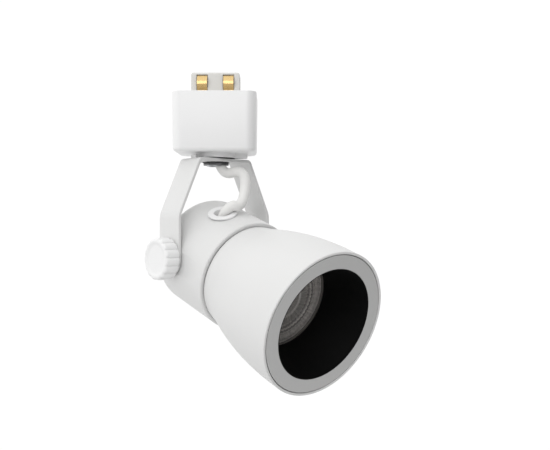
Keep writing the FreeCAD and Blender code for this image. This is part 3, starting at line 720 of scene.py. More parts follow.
class SPOTLIGHT_OT_supply_cable(bpy.types.Operator):
    """Run the sleeved supply cable from the swivel's nipple to the head's cable entry"""

    bl_idname = "spotlight.supply_cable"
    bl_label = "Supply cable"

    def execute(self, context):
        deselect_all()
        route = self.spline("cable_route", 0.0)
        line = bpy.data.meshes.new_from_object(route)
        path = [Vector(vertex.co) for vertex in line.vertices]
        bpy.data.objects.remove(route)
        cable = self.spline("supply_sleeve", sizes().cable / 2)
        context.view_layer.objects.active = cable
        cable.select_set(True)
        bpy.ops.object.convert(target="MESH")
        cable = context.active_object
        self.mark(cable.data, path)
        done(cable, Matrix.Identity(4), "braided_sleeve", None, ["supply_cable"], 60.0)
        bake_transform(cable)
        return {"FINISHED"}

    @staticmethod
    def spline(name, bevel):
        """The cable's route as one smooth spline, with or without thickness."""
        curve = bpy.data.curves.new(name, "CURVE")
        curve.dimensions = "3D"
        curve.resolution_u = 24
        curve.bevel_depth = bevel
        curve.bevel_resolution = 9
        curve.use_fill_caps = bevel > 0
        run = curve.splines.new("NURBS")
        run.points.add(len(CABLE_ROUTE) - 1)
        for point, spot in zip(run.points, CABLE_ROUTE):
            point.co = (*spot, 1.0)
        run.order_u = 3
        run.use_endpoint_u = True
        made = bpy.data.objects.new(name, curve)
        bpy.context.scene.collection.objects.link(made)
        bpy.context.view_layer.update()
        return made

    @staticmethod
    def mark(mesh, path):
        """Give each vertex its distance along the cable and its turn round it, for the braid."""
        runs = [0.0]
        for a, b in zip(path, path[1:]):
            runs.append(runs[-1] + (b - a).length)
        side = Vector((0.3, 1.0, 0.1)).normalized()
        names = {name: mesh.attributes.new(name, "FLOAT", "POINT") for name in ("run_m", "turn_sin", "turn_cos")}
        for index, vertex in enumerate(mesh.vertices):
            near = min(range(len(path)), key=lambda i: (path[i] - vertex.co).length_squared)
            before, after = path[max(near - 1, 0)], path[min(near + 1, len(path) - 1)]
            heading = (after - before).normalized()
            first = (side - heading * side.dot(heading)).normalized()
            second = heading.cross(first)
            arm = (vertex.co - path[near]).normalized()
            names["run_m"].data[index].value = runs[near]
            names["turn_sin"].data[index].value = arm.dot(second)
            names["turn_cos"].data[index].value = arm.dot(first)


class SPOTLIGHT_OT_adapter(bpy.types.Operator):
    """Mould the adapter's shell with its swivel collar and stop lug"""

    bl_idname = "spotlight.adapter"
    bl_label = "Adapter"

    def execute(self, context):
        low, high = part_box("adapter_housing")
        cover_low, cover_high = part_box("adapter_cover")
        collar_base = low.z
        collar_drop = 2.3 * MM
        base = collar_base + collar_drop
        underside_share = 0.982
        shell = box_piece("adapter_shell", (low.x, low.y, base), (high.x, high.y, high.z))
        choose(shell, "EDGE", lambda a, b: abs(a.x - b.x) < 1e-6 and abs(a.y - b.y) < 1e-6)
        bpy.ops.mesh.bevel(offset=5 * MM, segments=12, profile=0.5)
        choose(shell, "VERT", lambda v: v.z < base + 1e-6)
        bpy.ops.transform.resize(value=(underside_share, underside_share, 1), center_override=(0, 0, 0))
        choose(shell, "EDGE", lambda a, b: max(a.z, b.z) < base + 1e-6)
        bpy.ops.mesh.bevel(offset=1.9 * MM, segments=8, profile=0.5)
        choose(shell, "EDGE", lambda a, b: min(a.z, b.z) > high.z - 1e-6)
        bpy.ops.mesh.bevel(offset=0.25 * MM, segments=2, profile=0.5)
        bpy.ops.object.mode_set(mode="OBJECT")
        tool = box_piece(
            "cover_well", (cover_low.x - 0.15 * MM, cover_low.y - 0.15 * MM, -27 * MM),
            (cover_high.x + 0.15 * MM, cover_high.y + 0.15 * MM, 5 * MM))
        take_away(shell, tool)
        tool = box_piece(
            "thumb_window", (-4.4 * MM, high.y - 6 * MM, -16.5 * MM),
            (4.4 * MM, high.y + 5 * MM, -7.6 * MM))
        take_away(shell, tool)
        done(shell, Matrix.Identity(4), "moulded_white", "adapter", ["adapter_housing"],
             30.0)

        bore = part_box("swivel_nipple")[1].x + 0.3 * MM
        wide = 10.2 * MM
        ring = [(bore, base + 1 * MM), (bore, collar_base), (wide, collar_base), (wide, base + 1 * MM)]
        collar = turn_profile("adapter_collar", closed(rounded(ring, {2: 0.5 * MM})), sizes().segments)
        done(collar, Matrix.Identity(4), "moulded_white", "adapter", ["adapter_housing"])

        lug = box_piece(
            "stop_lug", (8 * MM, -3 * MM, collar_base + 0.02 * MM), (15.7 * MM, 3 * MM, base + 0.5 * MM))
        choose(lug, "EDGE", lambda a, b: min(a.x, b.x) > 15 * MM)
        bpy.ops.mesh.bevel(offset=0.6 * MM, segments=4, profile=0.5)
        done(lug, Matrix.Identity(4), "moulded_white", "adapter", ["adapter_housing"])
        return {"FINISHED"}


class SPOTLIGHT_OT_contacts(bpy.types.Operator):
    """Shape the contact tower and the sprung release tab"""

    bl_idname = "spotlight.contacts"
    bl_label = "Contact tower and release"

    def execute(self, context):
        low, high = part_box("contact_tower")
        tower = box_piece("contact_block", (-12 * MM, -5 * MM, -9 * MM), (12 * MM, 5 * MM, high.z))
        choose(tower, "EDGE", lambda a, b: min(a.z, b.z) > high.z - 1e-6)
        bpy.ops.mesh.bevel(offset=1.4 * MM, segments=5, profile=0.5)
        bpy.ops.object.mode_set(mode="OBJECT")
        for x, side in ((-6.5, -1), (6.5, -1), (0.0, 1)):
            edges = sorted((3.9 * side * MM, 8 * side * MM))
            tool = box_piece(
                "groove", ((x - 2.8) * MM, edges[0], -15 * MM), ((x + 2.8) * MM, edges[1], 9.8 * MM))
            take_away(tower, tool)
        soften(tower, 0.25 * MM)
        done(tower, Matrix.Identity(4), "insulator", "adapter", ["contact_tower"])

        low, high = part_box("lock_tab")
        pad = box_piece("release_tab", (-4 * MM, high.y - 3.9 * MM, -13 * MM), (4 * MM, high.y, -8 * MM))
        choose(pad, "FACE", lambda c, n: n.y > 0.9)
        bpy.ops.mesh.inset(thickness=0.7 * MM, depth=0)
        bpy.ops.transform.translate(value=(0, -0.6 * MM, 0))
        bpy.ops.object.mode_set(mode="OBJECT")
        soften(pad, 0.3 * MM)
        plate = box_piece("release_plate", (-6 * MM, low.y, low.z), (6 * MM, high.y - 3.75 * MM, -2.6 * MM))
        bpy.ops.object.mode_set(mode="OBJECT")
        soften(plate, 0.3 * MM)
        lug = box_piece("release_lug", (-3.5 * MM, low.y, -4 * MM), (3.5 * MM, high.y - 3.75 * MM, high.z))
        bpy.ops.object.mode_set(mode="OBJECT")
        soften(lug, 0.5 * MM)
        for piece in (pad, plate, lug):
            done(piece, Matrix.Identity(4), "moulded_white", "release", ["lock_tab"])
        return {"FINISHED"}


class SPOTLIGHT_OT_swivel(bpy.types.Operator):
    """Turn the swivel's nipple, nuts, toothed washer and sliding washer"""

    bl_idname = "spotlight.swivel"
    bl_label = "Swivel fixings"

    def execute(self, context):
        sides = sizes().segments
        low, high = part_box("swivel_nipple")
        outer = high.x
        bore = 3.7 * MM
        thread = []
        pitch = 1.0 * MM
        count = int((high.z - low.z - 0.8 * MM) / pitch)
        thread.append((outer - 0.45 * MM, low.z))
        for i in range(count):
            z = low.z + 0.4 * MM + i * pitch
            thread += [(outer - 0.42 * MM, z), (outer, z + pitch * 0.42), (outer, z + pitch * 0.55)]
        thread += [(outer - 0.42 * MM, high.z), (bore + 0.3 * MM, high.z), (bore, high.z - 0.3 * MM)]
        thread += [(bore, low.z + 0.3 * MM), (bore + 0.3 * MM, low.z)]
        nipple = turn_profile("swivel_tube", closed(thread), 96)
        done(nipple, Matrix.Identity(4), "bright_zinc", "adapter", ["swivel_nipple"])

        for name, node, finish, slot in (
            ("inner_nut", "nipple_nut", "bright_zinc", "zinc_steel"),
            ("lower_nut", "swivel_nut", "black_oxide", "dark_steel"),
        ):
            low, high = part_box(node)
            nut = self.nut(name, high.x, outer, low.z, high.z)
            done(nut, Matrix.Identity(4), finish, "adapter", [node])

        low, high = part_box("lock_washer")
        washer = self.toothed("toothed_washer", 5.1 * MM, 5.75 * MM, high.x, low.z, high.z)
        done(washer, Matrix.Identity(4), "black_oxide", "adapter", ["lock_washer"])

        low, high, inner, wide = span("swivel_washer", YOKE)
        ring = [(inner, low), (wide, low), (wide, high), (inner, high)]
        washer = turn_profile("sliding_washer", closed(ring), sides)
        done(washer, Matrix.Identity(4), "fibre", "yoke", ["swivel_washer"])
        return {"FINISHED"}

    @staticmethod
    def nut(name, radius, bore, low, high):
        """A six-sided nut with chamfered corners and a bored middle."""
        deselect_all()
        bpy.ops.mesh.primitive_cylinder_add(vertices=6, radius=radius, depth=high - low, location=(0, 0, 0))
        piece = start(name)
        bpy.ops.transform.rotate(value=math.radians(30), orient_axis="Z", center_override=(0, 0, 0))
        bpy.ops.transform.translate(value=(0, 0, (low + high) / 2))
        bpy.ops.object.mode_set(mode="OBJECT")
        take_away(piece, drill("nut_bore", bore + 0.02 * MM, low - MM, high + MM, Matrix.Identity(4)))
        soften(piece, 0.22 * MM, 25.0, 2)
        return piece

    @staticmethod
    def toothed(name, inner, waist, tip, low, high):
        """A lock washer: a flat ring whose outer faces are pulled out into ten teeth."""
        deselect_all()
        ring = [(inner, low), (waist, low), (waist, high), (inner, high)]
        piece = turn_profile(name, closed(ring), 60)
        bpy.ops.object.mode_set(mode="EDIT")

        def tooth(centre, normal):
            turn = math.degrees(math.atan2(centre.y, centre.x)) % 36.0
            outward = normal.x * centre.x + normal.y * centre.y
            return outward > 0.9 * waist * 0.9 and turn < 18.0

        choose(piece, "FACE", tooth)
        bpy.ops.mesh.extrude_region_move(TRANSFORM_OT_translate={"value": (0, 0, 0)})
        share = tip / waist
        bpy.ops.transform.resize(value=(share, share, 1), center_override=(0, 0, 0))
        bpy.ops.object.mode_set(mode="OBJECT")
        return piece


class SPOTLIGHT_OT_yoke(bpy.types.Operator):
    """Bend the yoke from one strip of sheet, with its stop tab and holes"""

    bl_idname = "spotlight.yoke"
    bl_label = "Yoke"

    def execute(self, context):
        back = YOKE.inverted()
        spots = [back @ vertex.co for vertex in frame["nodes"]["yoke_bracket"].data.vertices]
        out = max(spot.x for spot in spots)
        half = max(spot.y for spot in spots)
        foot = min(spot.z for spot in spots)
        gauge = 1.5 * MM
        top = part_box("swivel_washer")[0].z - 0.1 * MM
        near = 15.6 * MM
        bend = -59.5 * MM
        deselect_all()
        bpy.ops.mesh.primitive_plane_add(size=1, location=(0, 0, 0))
        yoke = start("yoke_strip")
        bpy.ops.transform.resize(value=(2 * near, 2 * half, 1), center_override=(0, 0, 0))
        bpy.ops.transform.translate(value=(0, 0, top))
        for side in (1, -1):
            choose(yoke, "EDGE", lambda a, b: min(a.x * side, b.x * side) > near - 1e-6)
            step = (side * (out - near), 0, bend - top)
            bpy.ops.mesh.extrude_edges_move(TRANSFORM_OT_translate={"value": step})
            bpy.ops.mesh.extrude_edges_move(TRANSFORM_OT_translate={"value": (0, 0, foot - bend)})
        choose(
            yoke, "EDGE",
            lambda a, b: abs(a.z - top) < 1e-6 and abs(b.z - top) < 1e-6 and abs(a.x - b.x) < 1e-6)
        bpy.ops.mesh.bevel(offset=1.7 * MM, segments=8, profile=0.5)
        choose(yoke, "EDGE", lambda a, b: abs(a.z - bend) < 1e-6 and abs(b.z - bend) < 1e-6)
        bpy.ops.mesh.bevel(offset=2.1 * MM, segments=10, profile=0.5)
        choose(yoke, "VERT", lambda v: v.z < foot + 1e-6)
        bpy.ops.mesh.bevel(offset=half - 0.06 * MM, segments=14, profile=0.5, affect="VERTICES")
        bpy.ops.mesh.select_all(action="SELECT")
        bpy.ops.mesh.normals_make_consistent(inside=False)
        bpy.ops.object.mode_set(mode="OBJECT")
        up = next(face for face in yoke.data.polygons if abs(face.normal.z) > 0.99)
        if up.normal.z < 0:
            yoke.data.flip_normals()
        modify(yoke, "SOLIDIFY", thickness=gauge, offset=-1.0, use_even_offset=True)
        stud = span("knob_stud", SIDE)[3] + 0.05 * MM
        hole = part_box("swivel_nipple")[1].x + 0.05 * MM
        turned = Matrix.Translation((0, 0, PIVOT.z)) @ Matrix.Rotation(math.radians(90), 4, "Y")
        take_away(yoke, drill("pivot_holes", stud, -0.04, 0.04, turned))
        take_away(yoke, drill("swivel_hole", hole, top - 0.01, top + 0.01, Matrix.Identity(4)))
        soften(yoke, sizes().edge, 50.0, 3)
        done(yoke, YOKE, "powder_coat", "yoke", ["yoke_bracket"], 28.0)

        tab = box_piece(
            "yoke_stop", (-14 * MM, -2 * MM, top - 0.4 * MM), (-12.4 * MM, 2 * MM, top + 1.9 * MM))
        choose(tab, "EDGE", lambda a, b: min(a.z, b.z) > top + 1 * MM and abs(a.x - b.x) > 1e-4)
        bpy.ops.mesh.bevel(offset=0.7 * MM, segments=5, profile=0.5)
        bpy.ops.object.mode_set(mode="OBJECT")
        soften(tab, 0.2 * MM)
        done(tab, YOKE, "powder_coat", "yoke", ["yoke_bracket"])
        return {"FINISHED"}


class SPOTLIGHT_OT_knob(bpy.types.Operator):
    """Mould the lobed thumb knob with its dished face, and turn its stud"""

    bl_idname = "spotlight.knob"
    bl_label = "Thumb knob"

    def execute(self, context):
        low, high, _, wide = span("knob_grip", SIDE)
        stud_low, stud_high, _, stud = span("knob_stud", SIDE)
        lobes = sizes().lobes
        sides = lobes * 16
        dip = 0.085
        stations = [
            (stud + 0.3 * MM, high), (wide * 0.55, high), (wide * 0.90, high), (wide * 0.955, high - 0.15 * MM),
            (wide * 0.985, high - 0.45 * MM), (wide, high - 0.95 * MM), (wide, low + 1.3 * MM),
            (wide * 0.985, low + 0.75 * MM), (wide * 0.945, low + 0.32 * MM), (wide * 0.89, low + 0.08 * MM),
            (wide * 0.845, low), (wide * 0.80, low + 0.03 * MM), (wide * 0.745, low + 0.25 * MM),
            (wide * 0.70, low + 0.50 * MM), (wide * 0.62, low + 0.60 * MM), (wide * 0.30, low + 0.55 * MM)]
        strength = {2: 0.3, 3: 0.6, 4: 0.85, 5: 1.0, 6: 1.0, 7: 0.9, 8: 0.6, 9: 0.25}
        made_now = {"strength": 0.0}

        def shape(piece, index):
            """Pull the newest loop's valleys in, or let them out again as the lobes fade."""
            new = strength.get(index, 0.0)
            old = made_now["strength"]
            made_now["strength"] = new
            if abs(new - old) < 1e-9:
                return
            height = stations[index][1]
            reach = stations[index][0] * 1.02
            for phase in range(16):
                wave = abs(math.cos(math.pi * phase / 16)) ** 0.55
                share = (1 - dip * new * (1 - wave)) / (1 - dip * old * (1 - wave))
                if abs(share - 1) < 1e-6:
                    continue

                def wanted(v):
                    turn = math.degrees(math.atan2(v.y, v.x)) % (360.0 / lobes)
                    step = 360.0 / sides
                    off = turn - phase * step
                    at_phase = abs(off) < 0.3 * step or abs(off - 16 * step) < 0.3 * step
                    far = math.hypot(v.x, v.y)
                    return at_phase and abs(v.z - height) < 1e-7 and far > stations[index][0] * 0.85

                choose(piece, "VERT", wanted)
                bpy.ops.transform.resize(value=(share, share, 1), center_override=(0, 0, 0))
            choose(piece, "EDGE", lambda a, b: max(abs(a.z - height), abs(b.z - height)) < 1e-7
                   and reach * 0.85 < min(math.hypot(a.x, a.y), math.hypot(b.x, b.y)) < reach)

        knob = turn_profile("knob_cap", stations, sides, first_cap=True, last_cap=True, shape=shape)
        done(knob, SIDE, "moulded_white", "knob", ["knob_grip"], 38.0)

        ends = [
            (stud * 0.8, stud_low + 1e-4), (stud, stud_low + 0.6 * MM), (stud, stud_high - 0.6 * MM),
            (stud * 0.8, stud_high)]
        shaft = turn_profile("knob_shaft", ends, 64, first_cap=True, last_cap=True)
        done(shaft, SIDE, "bright_zinc", "knob", ["knob_stud"])
        return {"FINISHED"}


SIDE_LOCAL = {
    1: Matrix.Rotation(math.radians(90), 4, "Y"),
    -1: Matrix.Rotation(math.radians(-90), 4, "Y"),
}


class SPOTLIGHT_OT_rear_housing(bpy.types.Operator):
    """Turn the head's rear housing, flatten it at the pivots and cut its cable entry"""

    bl_idname = "spotlight.rear_housing"
    bl_label = "Rear housing"

    def execute(self, context):
        low, high, _, wide = span("rear_housing", HEAD)
        wall = 2 * MM
        outline = [
            (3 * MM, low), (wide, low), (wide, high - 0.35 * MM), (wide - 0.35 * MM, high), (wide - wall, high),
            (wide - wall, low + wall), (3 * MM, low + wall)]
        stations = rounded(outline, {1: 6.5 * MM, 5: 4.6 * MM}, 12)
        shell = turn_profile("housing_shell", stations, sizes().segments, first_cap=True, last_cap=True)
        insert = frame["nodes"]["pivot_insert"].data
        flat = max(abs((HEAD.inverted() @ v.co).x) for v in insert.vertices) + 0.05 * MM
        for side in (-1, 1):
            edges = sorted((side * flat, side * (wide + 3 * MM)))
            tool = box_piece("flat_cut", (edges[0], -14 * MM, low - MM), (edges[1], 14 * MM, 11 * MM))
            bpy.ops.object.mode_set(mode="OBJECT")
            take_away(shell, tool)
        for side, radius in ((-1, 4.52 * MM), (1, 2.03 * MM)):
            tool = drill("pivot_bore", radius, 18 * MM, 30 * MM, SIDE_LOCAL[side])
            take_away(shell, tool)
        entry = HEAD.inverted() @ grommet_frame()
        take_away(shell, drill("cable_entry", 4.8 * MM, 19 * MM, 31 * MM, entry))
        soften(shell, 0.22 * MM, 45.0, 2)
        done(shell, HEAD, "powder_coat", "head", ["rear_housing"], 30.0)
        return {"FINISHED"}


class SPOTLIGHT_OT_grommet(bpy.types.Operator):
    """Turn the soft ring that lines the cable entry"""

    bl_idname = "spotlight.grommet"
    bl_label = "Grommet"

    def execute(self, context):
        place = grommet_frame()
        low, high, bore, wide = span("grommet", place)
        face = high - 0.8 * MM
        under = low + 0.7 * MM
        neck = bore + 0.35 * MM
        outline = [
            (bore, high), (wide, high), (wide, face), (neck, face), (neck, under), (bore + MM, under),
            (bore + MM, low), (bore, low)]
        stations = rounded(outline, {0: 0.4 * MM, 1: 0.45 * MM, 6: 0.3 * MM}, 6)
        ring = turn_profile("entry_ring", closed(stations), 96)
        done(ring, place, "soft_white", "head", ["grommet"])
        return {"FINISHED"}


class SPOTLIGHT_OT_bell(bpy.types.Operator):
    """Spin the bell-shaped shade with its rolled rim"""

    bl_idname = "spotlight.bell"
    bl_label = "Bell shade"

    def execute(self, context):
        low, high, bore, mouth = span("bell_shade", HEAD)
        start_z = low + 0.5 * MM
        neck = 25.3 * MM
        wall = 1.6 * MM
        seat = high - 1.9 * MM
        knots = [(0.0, 0.0), (0.12, 0.17), (0.30, 0.51), (0.52, 0.80), (0.76, 0.965), (1.0, 1.0)]
        outer = [(neck + (mouth - neck) * g, start_z + (high - start_z) * t) for t, g in smooth_through(knots, 44)]
        outer[-1] = (mouth - 0.05 * MM, high - 0.25 * MM)
        rim = [(mouth - 0.25 * MM, high), (mouth - 1.0 * MM, high), (mouth - 1.18 * MM, high - 0.2 * MM)]
        rim += [(mouth - 1.2 * MM, seat), (mouth - wall, seat)]
        inner = [(r - wall, z) for r, z in reversed(outer[2:-3])]
        back = [(neck - wall, low + 1.8 * MM), (bore, low + 1.8 * MM), (bore, low), (neck - 0.7 * MM, low)]
        back += [(neck - 0.7 * MM, start_z)]
        bell = turn_profile("bell_shell", closed(outer + rim + inner + back), 192)
        done(bell, HEAD, "powder_coat", "head", ["bell_shade"], 34.0)
        return {"FINISHED"}


def smooth_through(knots, count):
    """Points on a smooth curve through the knots, evenly spaced between the ends."""
    made = []
    for step in range(count + 1):
        x = knots[-1][0] * step / count
        i = max(k for k in range(len(knots) - 1) if knots[k][0] <= x + 1e-9)
        (x0, y0), (x1, y1) = knots[i], knots[i + 1]
        before = knots[max(i - 1, 0)]
        after = knots[min(i + 2, len(knots) - 1)]
        slope0 = (y1 - before[1]) / (x1 - before[0])
        slope1 = (after[1] - y0) / (after[0] - x0)
        t = (x - x0) / (x1 - x0)
        width = x1 - x0
        y = (2 * t**3 - 3 * t**2 + 1) * y0 + (t**3 - 2 * t**2 + t) * slope0 * width
        y += (3 * t**2 - 2 * t**3) * y1 + (t**3 - t**2) * slope1 * width
        made.append((x, y))
    return made


def front_height(node):
    """The front height of a CAD node in the head's frame."""
    return span(node, HEAD)[1]


class SPOTLIGHT_OT_trim(bpy.types.Operator):
    """Turn the trim ring and the ribbed black baffle behind it"""

    bl_idname = "spotlight.trim"
    bl_label = "Trim ring and baffle"

    def execute(self, context):
        low, high, bore, wide = span("trim_ring", HEAD)
        seat = high - 1.7 * MM
        outline = [
            (bore + 0.5 * MM, high), (wide - 0.5 * MM, high), (wide - 0.35 * MM, high - 0.15 * MM),
            (wide - 0.35 * MM, seat),
            (bore + 2.3 * MM, seat), (bore + 2.3 * MM, low), (bore + 1.3 * MM, low), (bore + 1.3 * MM, seat),
            (bore + 0.4 * MM, seat), (bore + 0.4 * MM, high - 0.1 * MM)]
        ring = turn_profile("trim_face", closed(outline), 192)
        done(ring, HEAD, "ring_lacquer_painted_shade", "trim", ["trim_ring"], 40.0)

        low, high, waist, wide = span("baffle", HEAD)
        mouth = wide - 1.15 * MM
        lip = front_height("trim_ring") - 0.06 * MM
        ribs = 22
        inside = []
        for i in range(ribs):
            z0 = high - 0.2 * MM - (high - 1.4 * MM - low) * i / ribs
            z1 = high - 0.2 * MM - (high - 1.4 * MM - low) * (i + 0.5) / ribs
            r0 = mouth + 0.1 * MM + (waist - mouth) * i / ribs
            r1 = mouth + 0.1 * MM + (waist - mouth) * (i + 0.9) / ribs
            inside += [(r0, z0), (r1 - 0.02 * MM, z1)]
        tail = [(waist + 0.02 * MM, low + 1.1 * MM), (waist, low + 0.2 * MM), (waist + 0.2 * MM, low)]
        tail += [(waist + 3 * MM, low), (waist + 3 * MM, low + MM), (waist + 1.1 * MM, low + MM)]
        outside = [(wide, high - 3 * MM), (wide, high), (mouth + 0.42 * MM, high), (mouth + 0.42 * MM, lip)]
        outside += [(mouth + 0.1 * MM, lip)]
        cone = turn_profile("baffle_cone", closed(inside + tail + outside), 192)
        done(cone, HEAD, "baffle_black", "trim", ["baffle"], 20.0)
        return {"FINISHED"}


class SPOTLIGHT_OT_lamp(bpy.types.Operator):
    """Build the lamp's bezel, faceted lens, finned body and pins"""

    bl_idname = "spotlight.lamp"
    bl_label = "Reflector lamp"

    def execute(self, context):
        low, high, _, wide = span("lamp_bezel", HEAD)
        outline = [
            (22.3 * MM, high - 0.1 * MM), (22.5 * MM, high), (23.6 * MM, high - 0.1 * MM),
            (wide, high - 0.8 * MM), (wide, low), (23.9 * MM, low), (23.9 * MM, high - 2.3 * MM), (22.3 * MM, high - 1.0 * MM)]
        bezel = turn_profile("lamp_rim", closed(outline), 144)
        done(bezel, HEAD, "bezel_grey", "lamp", ["lamp_bezel"])

        low, high, _, wide = span("lamp_lens", HEAD)
        face = high
        stations = [
            (wide, low), (wide, low + 0.8 * MM), (22.1 * MM, face - 0.8 * MM), (20.9 * MM, face - 0.65 * MM),
            (20.3 * MM, face - 0.1 * MM), (19.3 * MM, face - 0.05 * MM), (18.8 * MM, face - 0.9 * MM),
            (17.9 * MM, face - 0.95 * MM), (17.2 * MM, face - 0.2 * MM), (15.2 * MM, face - 0.15 * MM),
            (14.6 * MM, face - 0.9 * MM), (13.6 * MM, face - 0.95 * MM), (12.8 * MM, face - 0.3 * MM),
            (9.6 * MM, face - 0.55 * MM), (9.0 * MM, face - 1.0 * MM), (6.0 * MM, face - 0.6 * MM),
            (2.5 * MM, face - 0.15 * MM), (0.8 * MM, face - 0.1 * MM)]
        sides = sizes().facets * 4
        lens = turn_profile("lens_disc", stations, sides, first_cap=True, last_cap=True)
        bpy.ops.object.mode_set(mode="EDIT")

        def ridge(v):
            turn = int(round(math.degrees(math.atan2(v.y, v.x)) * sides / 360.0)) % 4
            far = math.hypot(v.x, v.y)
            return turn == 0 and 12.0 * MM < far < 21.5 * MM

        choose(lens, "VERT", ridge)
        bpy.ops.transform.translate(value=(0, 0, -0.35 * MM))
        done(lens, HEAD, "lens_smoke_and_highlights", "lamp", ["lamp_lens"], 24.0)

        low, high, _, wide = span("lamp_body", HEAD)
        base = 13.2 * MM
        outline = [
            (base - 0.8 * MM, low), (base, low + 0.8 * MM), (base, low + 12 * MM), (15.6 * MM, low + 16.5 * MM),
            (wide, high - 1.4 * MM), (wide, high), (wide - 1.3 * MM, high), (wide - 1.5 * MM, high - 1.6 * MM),
            (14 * MM, low + 18.2 * MM)]
        sides = 144
        body = turn_profile("lamp_shell", outline, sides, first_cap=True, last_cap=True)
        bpy.ops.object.mode_set(mode="EDIT")

        def fin(centre, normal):
            turn = int(math.floor(math.degrees(math.atan2(centre.y, centre.x)) * sides / 360.0)) % 8
            far = math.hypot(centre.x, centre.y)
            outward = normal.x * centre.x + normal.y * centre.y
            on_cone = 15.7 * MM < far < wide - 0.1 * MM and centre.z < high - 2 * MM
            return turn in (0, 1) and outward > 0 and on_cone

        choose(body, "FACE", fin)
        bpy.ops.mesh.extrude_region_move(TRANSFORM_OT_translate={"value": (0, 0, 0)})
        bpy.ops.transform.resize(value=(0.94, 0.94, 1), center_override=(0, 0, 0))
        done(body, HEAD, "cast_alloy", "lamp", ["lamp_body"], 30.0)

        spots = [HEAD.inverted() @ v.co for v in frame["nodes"]["lamp_pins"].data.vertices]
        reach = 5 * MM
        low = min(s.z for s in spots)
        high = max(s.z for s in spots)
        for name, side in (("lamp_pin_a", 1), ("lamp_pin_b", -1)):
            ends = [
                (2.2 * MM, low), (2.4 * MM, low + 0.3 * MM), (2.4 * MM, low + 2.2 * MM),
                (2.1 * MM, low + 2.5 * MM), (1.5 * MM, low + 2.7 * MM), (1.5 * MM, high)]
            pin = turn_profile(name, ends, 48, first_cap=True, last_cap=True)
            place = HEAD @ Matrix.Translation((0, side * reach, 0))
            done(pin, place, "bright_zinc", "lamp", ["lamp_pins"])
        return {"FINISHED"}


class SPOTLIGHT_OT_pivot(bpy.types.Operator):
    """Turn the fixed pivot screw on the far leg"""

    bl_idname = "spotlight.pivot"
    bl_label = "Pivot screw"

    def execute(self, context):
        low, high, _, wide = span("pivot_screw", SIDE)
        under = high - 2.3 * MM
        outline = [
            (1.6 * MM, low), (2.0 * MM, low + 0.4 * MM), (2.0 * MM, 26.5 * MM), (2.5 * MM, 26.5 * MM),
            (2.5 * MM, under), (wide, under), (wide, under + 0.6 * MM), (wide * 0.93, high - 0.75 * MM),
            (wide * 0.78, high - 0.2 * MM), (wide * 0.6, high), (wide * 0.4, high)]
        screw = turn_profile("pivot_bolt", outline, 96, first_cap=True, last_cap=True)
        deselect_all()
        bpy.ops.mesh.primitive_cylinder_add(
            vertices=6, radius=1.7 * MM, depth=3 * MM, location=(0, 0, high + 0.2 * MM))
        take_away(screw, bpy.context.active_object)
        done(screw, SIDE, "bright_zinc", "head", ["pivot_screw"])
        return {"FINISHED"}


KEPT_NODES = {
    "adapter_cover": "moulded_white",
    "live_contact": "contact_brass",
    "neutral_contact": "contact_brass",
    "ground_contact": "contact_brass",
    "cover_screws": "bright_zinc",
    "lock_spring": "bright_zinc",
    "adapter_leads": "wire_skin",
    "bell_screws": "bright_zinc",
    "lamp_holder": "ceramic",
    "holder_bracket": "bright_zinc",
    "bracket_screws": "bright_zinc",
    "pivot_insert": "contact_brass",
    "lamp_leads": "wire_skin",
    "led_board": "led_yellow",
}


class SPOTLIGHT_OT_kept_nodes(bpy.types.Operator):
    """Give the hidden and hardware pieces that are kept from the frame their finishes"""

    bl_idname = "spotlight.kept_nodes"
    bl_label = "Kept pieces"

    def execute(self, context):
        for node, finish in KEPT_NODES.items():
            mesh = frame["nodes"][node].data
            mesh.materials.clear()
            mesh.materials.append(finish_named(finish))
        spring = frame["nodes"]["lock_spring"]
        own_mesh(spring)
        return {"FINISHED"}


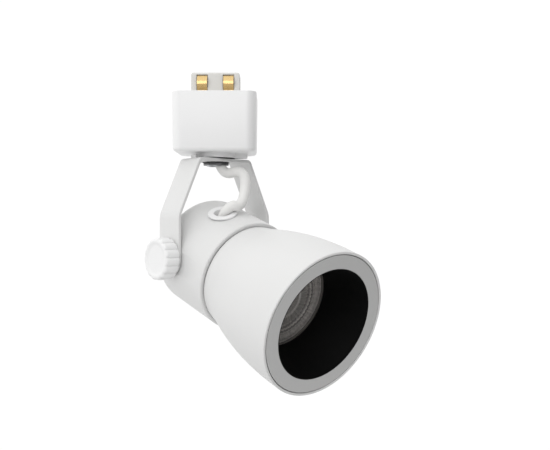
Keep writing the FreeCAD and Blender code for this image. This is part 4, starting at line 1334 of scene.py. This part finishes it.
class SPOTLIGHT_OT_stage(bpy.types.Operator):
    """Lay the pale floor and hang the soft studio lights"""

    bl_idname = "spotlight.stage"
    bl_label = "Stage"

    def execute(self, context):
        deselect_all()
        bpy.ops.mesh.primitive_plane_add(size=5.0, location=(0, 0, -1.2))
        floor = bpy.context.active_object
        floor.name = "floor"
        made = Finish("floor_paint", (0.78, 0.78, 0.78), 0.8)
        grain = made.noise(40.0, 2.0)
        made.tint(grain, 0.99, 1.0)
        floor.data.materials.append(made.material)

        world = bpy.data.worlds.new("studio")
        world.use_nodes = True
        tree = world.node_tree
        sky = tree.nodes["Background"]
        coord = tree.nodes.new("ShaderNodeTexCoord")
        shade = tree.nodes.new("ShaderNodeVectorMath")
        shade.operation = "DOT_PRODUCT"
        shade.inputs[1].default_value = (0.76, -0.45, -0.47)
        ramp = tree.nodes.new("ShaderNodeMapRange")
        ramp.interpolation_type = "SMOOTHSTEP"
        ramp.inputs["From Min"].default_value = -0.10
        ramp.inputs["From Max"].default_value = 0.95
        ramp.inputs["To Min"].default_value = 1.03
        ramp.inputs["To Max"].default_value = 0.10
        tree.links.new(coord.outputs["Generated"], shade.inputs[0])
        tree.links.new(shade.outputs["Value"], ramp.inputs["Value"])
        tree.links.new(ramp.outputs[0], sky.inputs["Strength"])
        sky.inputs["Color"].default_value = (1.0, 1.0, 1.0, 1.0)
        context.scene.world = world
        self.softbox("key_light", (-0.05, -1.15, 0.50), 0.6, 3.6)
        self.softbox("top_light", (-0.2, 0.1, 1.0), 0.9, 0.8)
        context.scene.view_settings.view_transform = "Standard"
        context.scene.view_settings.look = "None"
        return {"FINISHED"}

    @staticmethod
    def softbox(name, place, size, power):
        """A square area light that faces the lamp head."""
        data = bpy.data.lights.new(name, "AREA")
        data.shape = "SQUARE"
        data.size = size
        data.energy = power
        light = bpy.data.objects.new(name, data)
        bpy.context.scene.collection.objects.link(light)
        light.location = place
        aim = PIVOT - Vector(place)
        light.rotation_euler = aim.to_track_quat("-Z", "Y").to_euler()


OPERATORS = [
    SPOTLIGHT_OT_camera,
    SPOTLIGHT_OT_supply_cable,
    SPOTLIGHT_OT_adapter,
    SPOTLIGHT_OT_contacts,
    SPOTLIGHT_OT_swivel,
    SPOTLIGHT_OT_yoke,
    SPOTLIGHT_OT_knob,
    SPOTLIGHT_OT_rear_housing,
    SPOTLIGHT_OT_grommet,
    SPOTLIGHT_OT_bell,
    SPOTLIGHT_OT_trim,
    SPOTLIGHT_OT_lamp,
    SPOTLIGHT_OT_pivot,
    SPOTLIGHT_OT_kept_nodes,
    SPOTLIGHT_OT_stage,
]


class SPOTLIGHT_PT_panel(bpy.types.Panel):
    """Lists the spotlight's sizes, colours and building steps"""

    bl_idname = "SPOTLIGHT_PT_panel"
    bl_label = "Track Spotlight"
    bl_space_type = "VIEW_3D"
    bl_region_type = "UI"
    bl_category = "Spotlight"

    def draw(self, context):
        for group in (sizes(), colours()):
            for name in group.__annotations__:
                self.layout.prop(group, name)
        for operator in OPERATORS:
            self.layout.operator(operator.bl_idname)


CLASSES = [SpotlightSizes, SpotlightColours, *OPERATORS, SPOTLIGHT_PT_panel]


def register():
    for item in CLASSES:
        bpy.utils.register_class(item)
    bpy.types.Scene.spotlight_sizes = PointerProperty(type=SpotlightSizes)
    bpy.types.Scene.spotlight_colours = PointerProperty(type=SpotlightColours)


def unregister():
    del bpy.types.Scene.spotlight_colours
    del bpy.types.Scene.spotlight_sizes
    for item in reversed(CLASSES):
        bpy.utils.unregister_class(item)


def main():
    register()
    for operator in OPERATORS:
        group, name = operator.bl_idname.split(".")
        getattr(getattr(bpy.ops, group), name)()
    deselect_all()


if __name__ == "__main__":
    main()
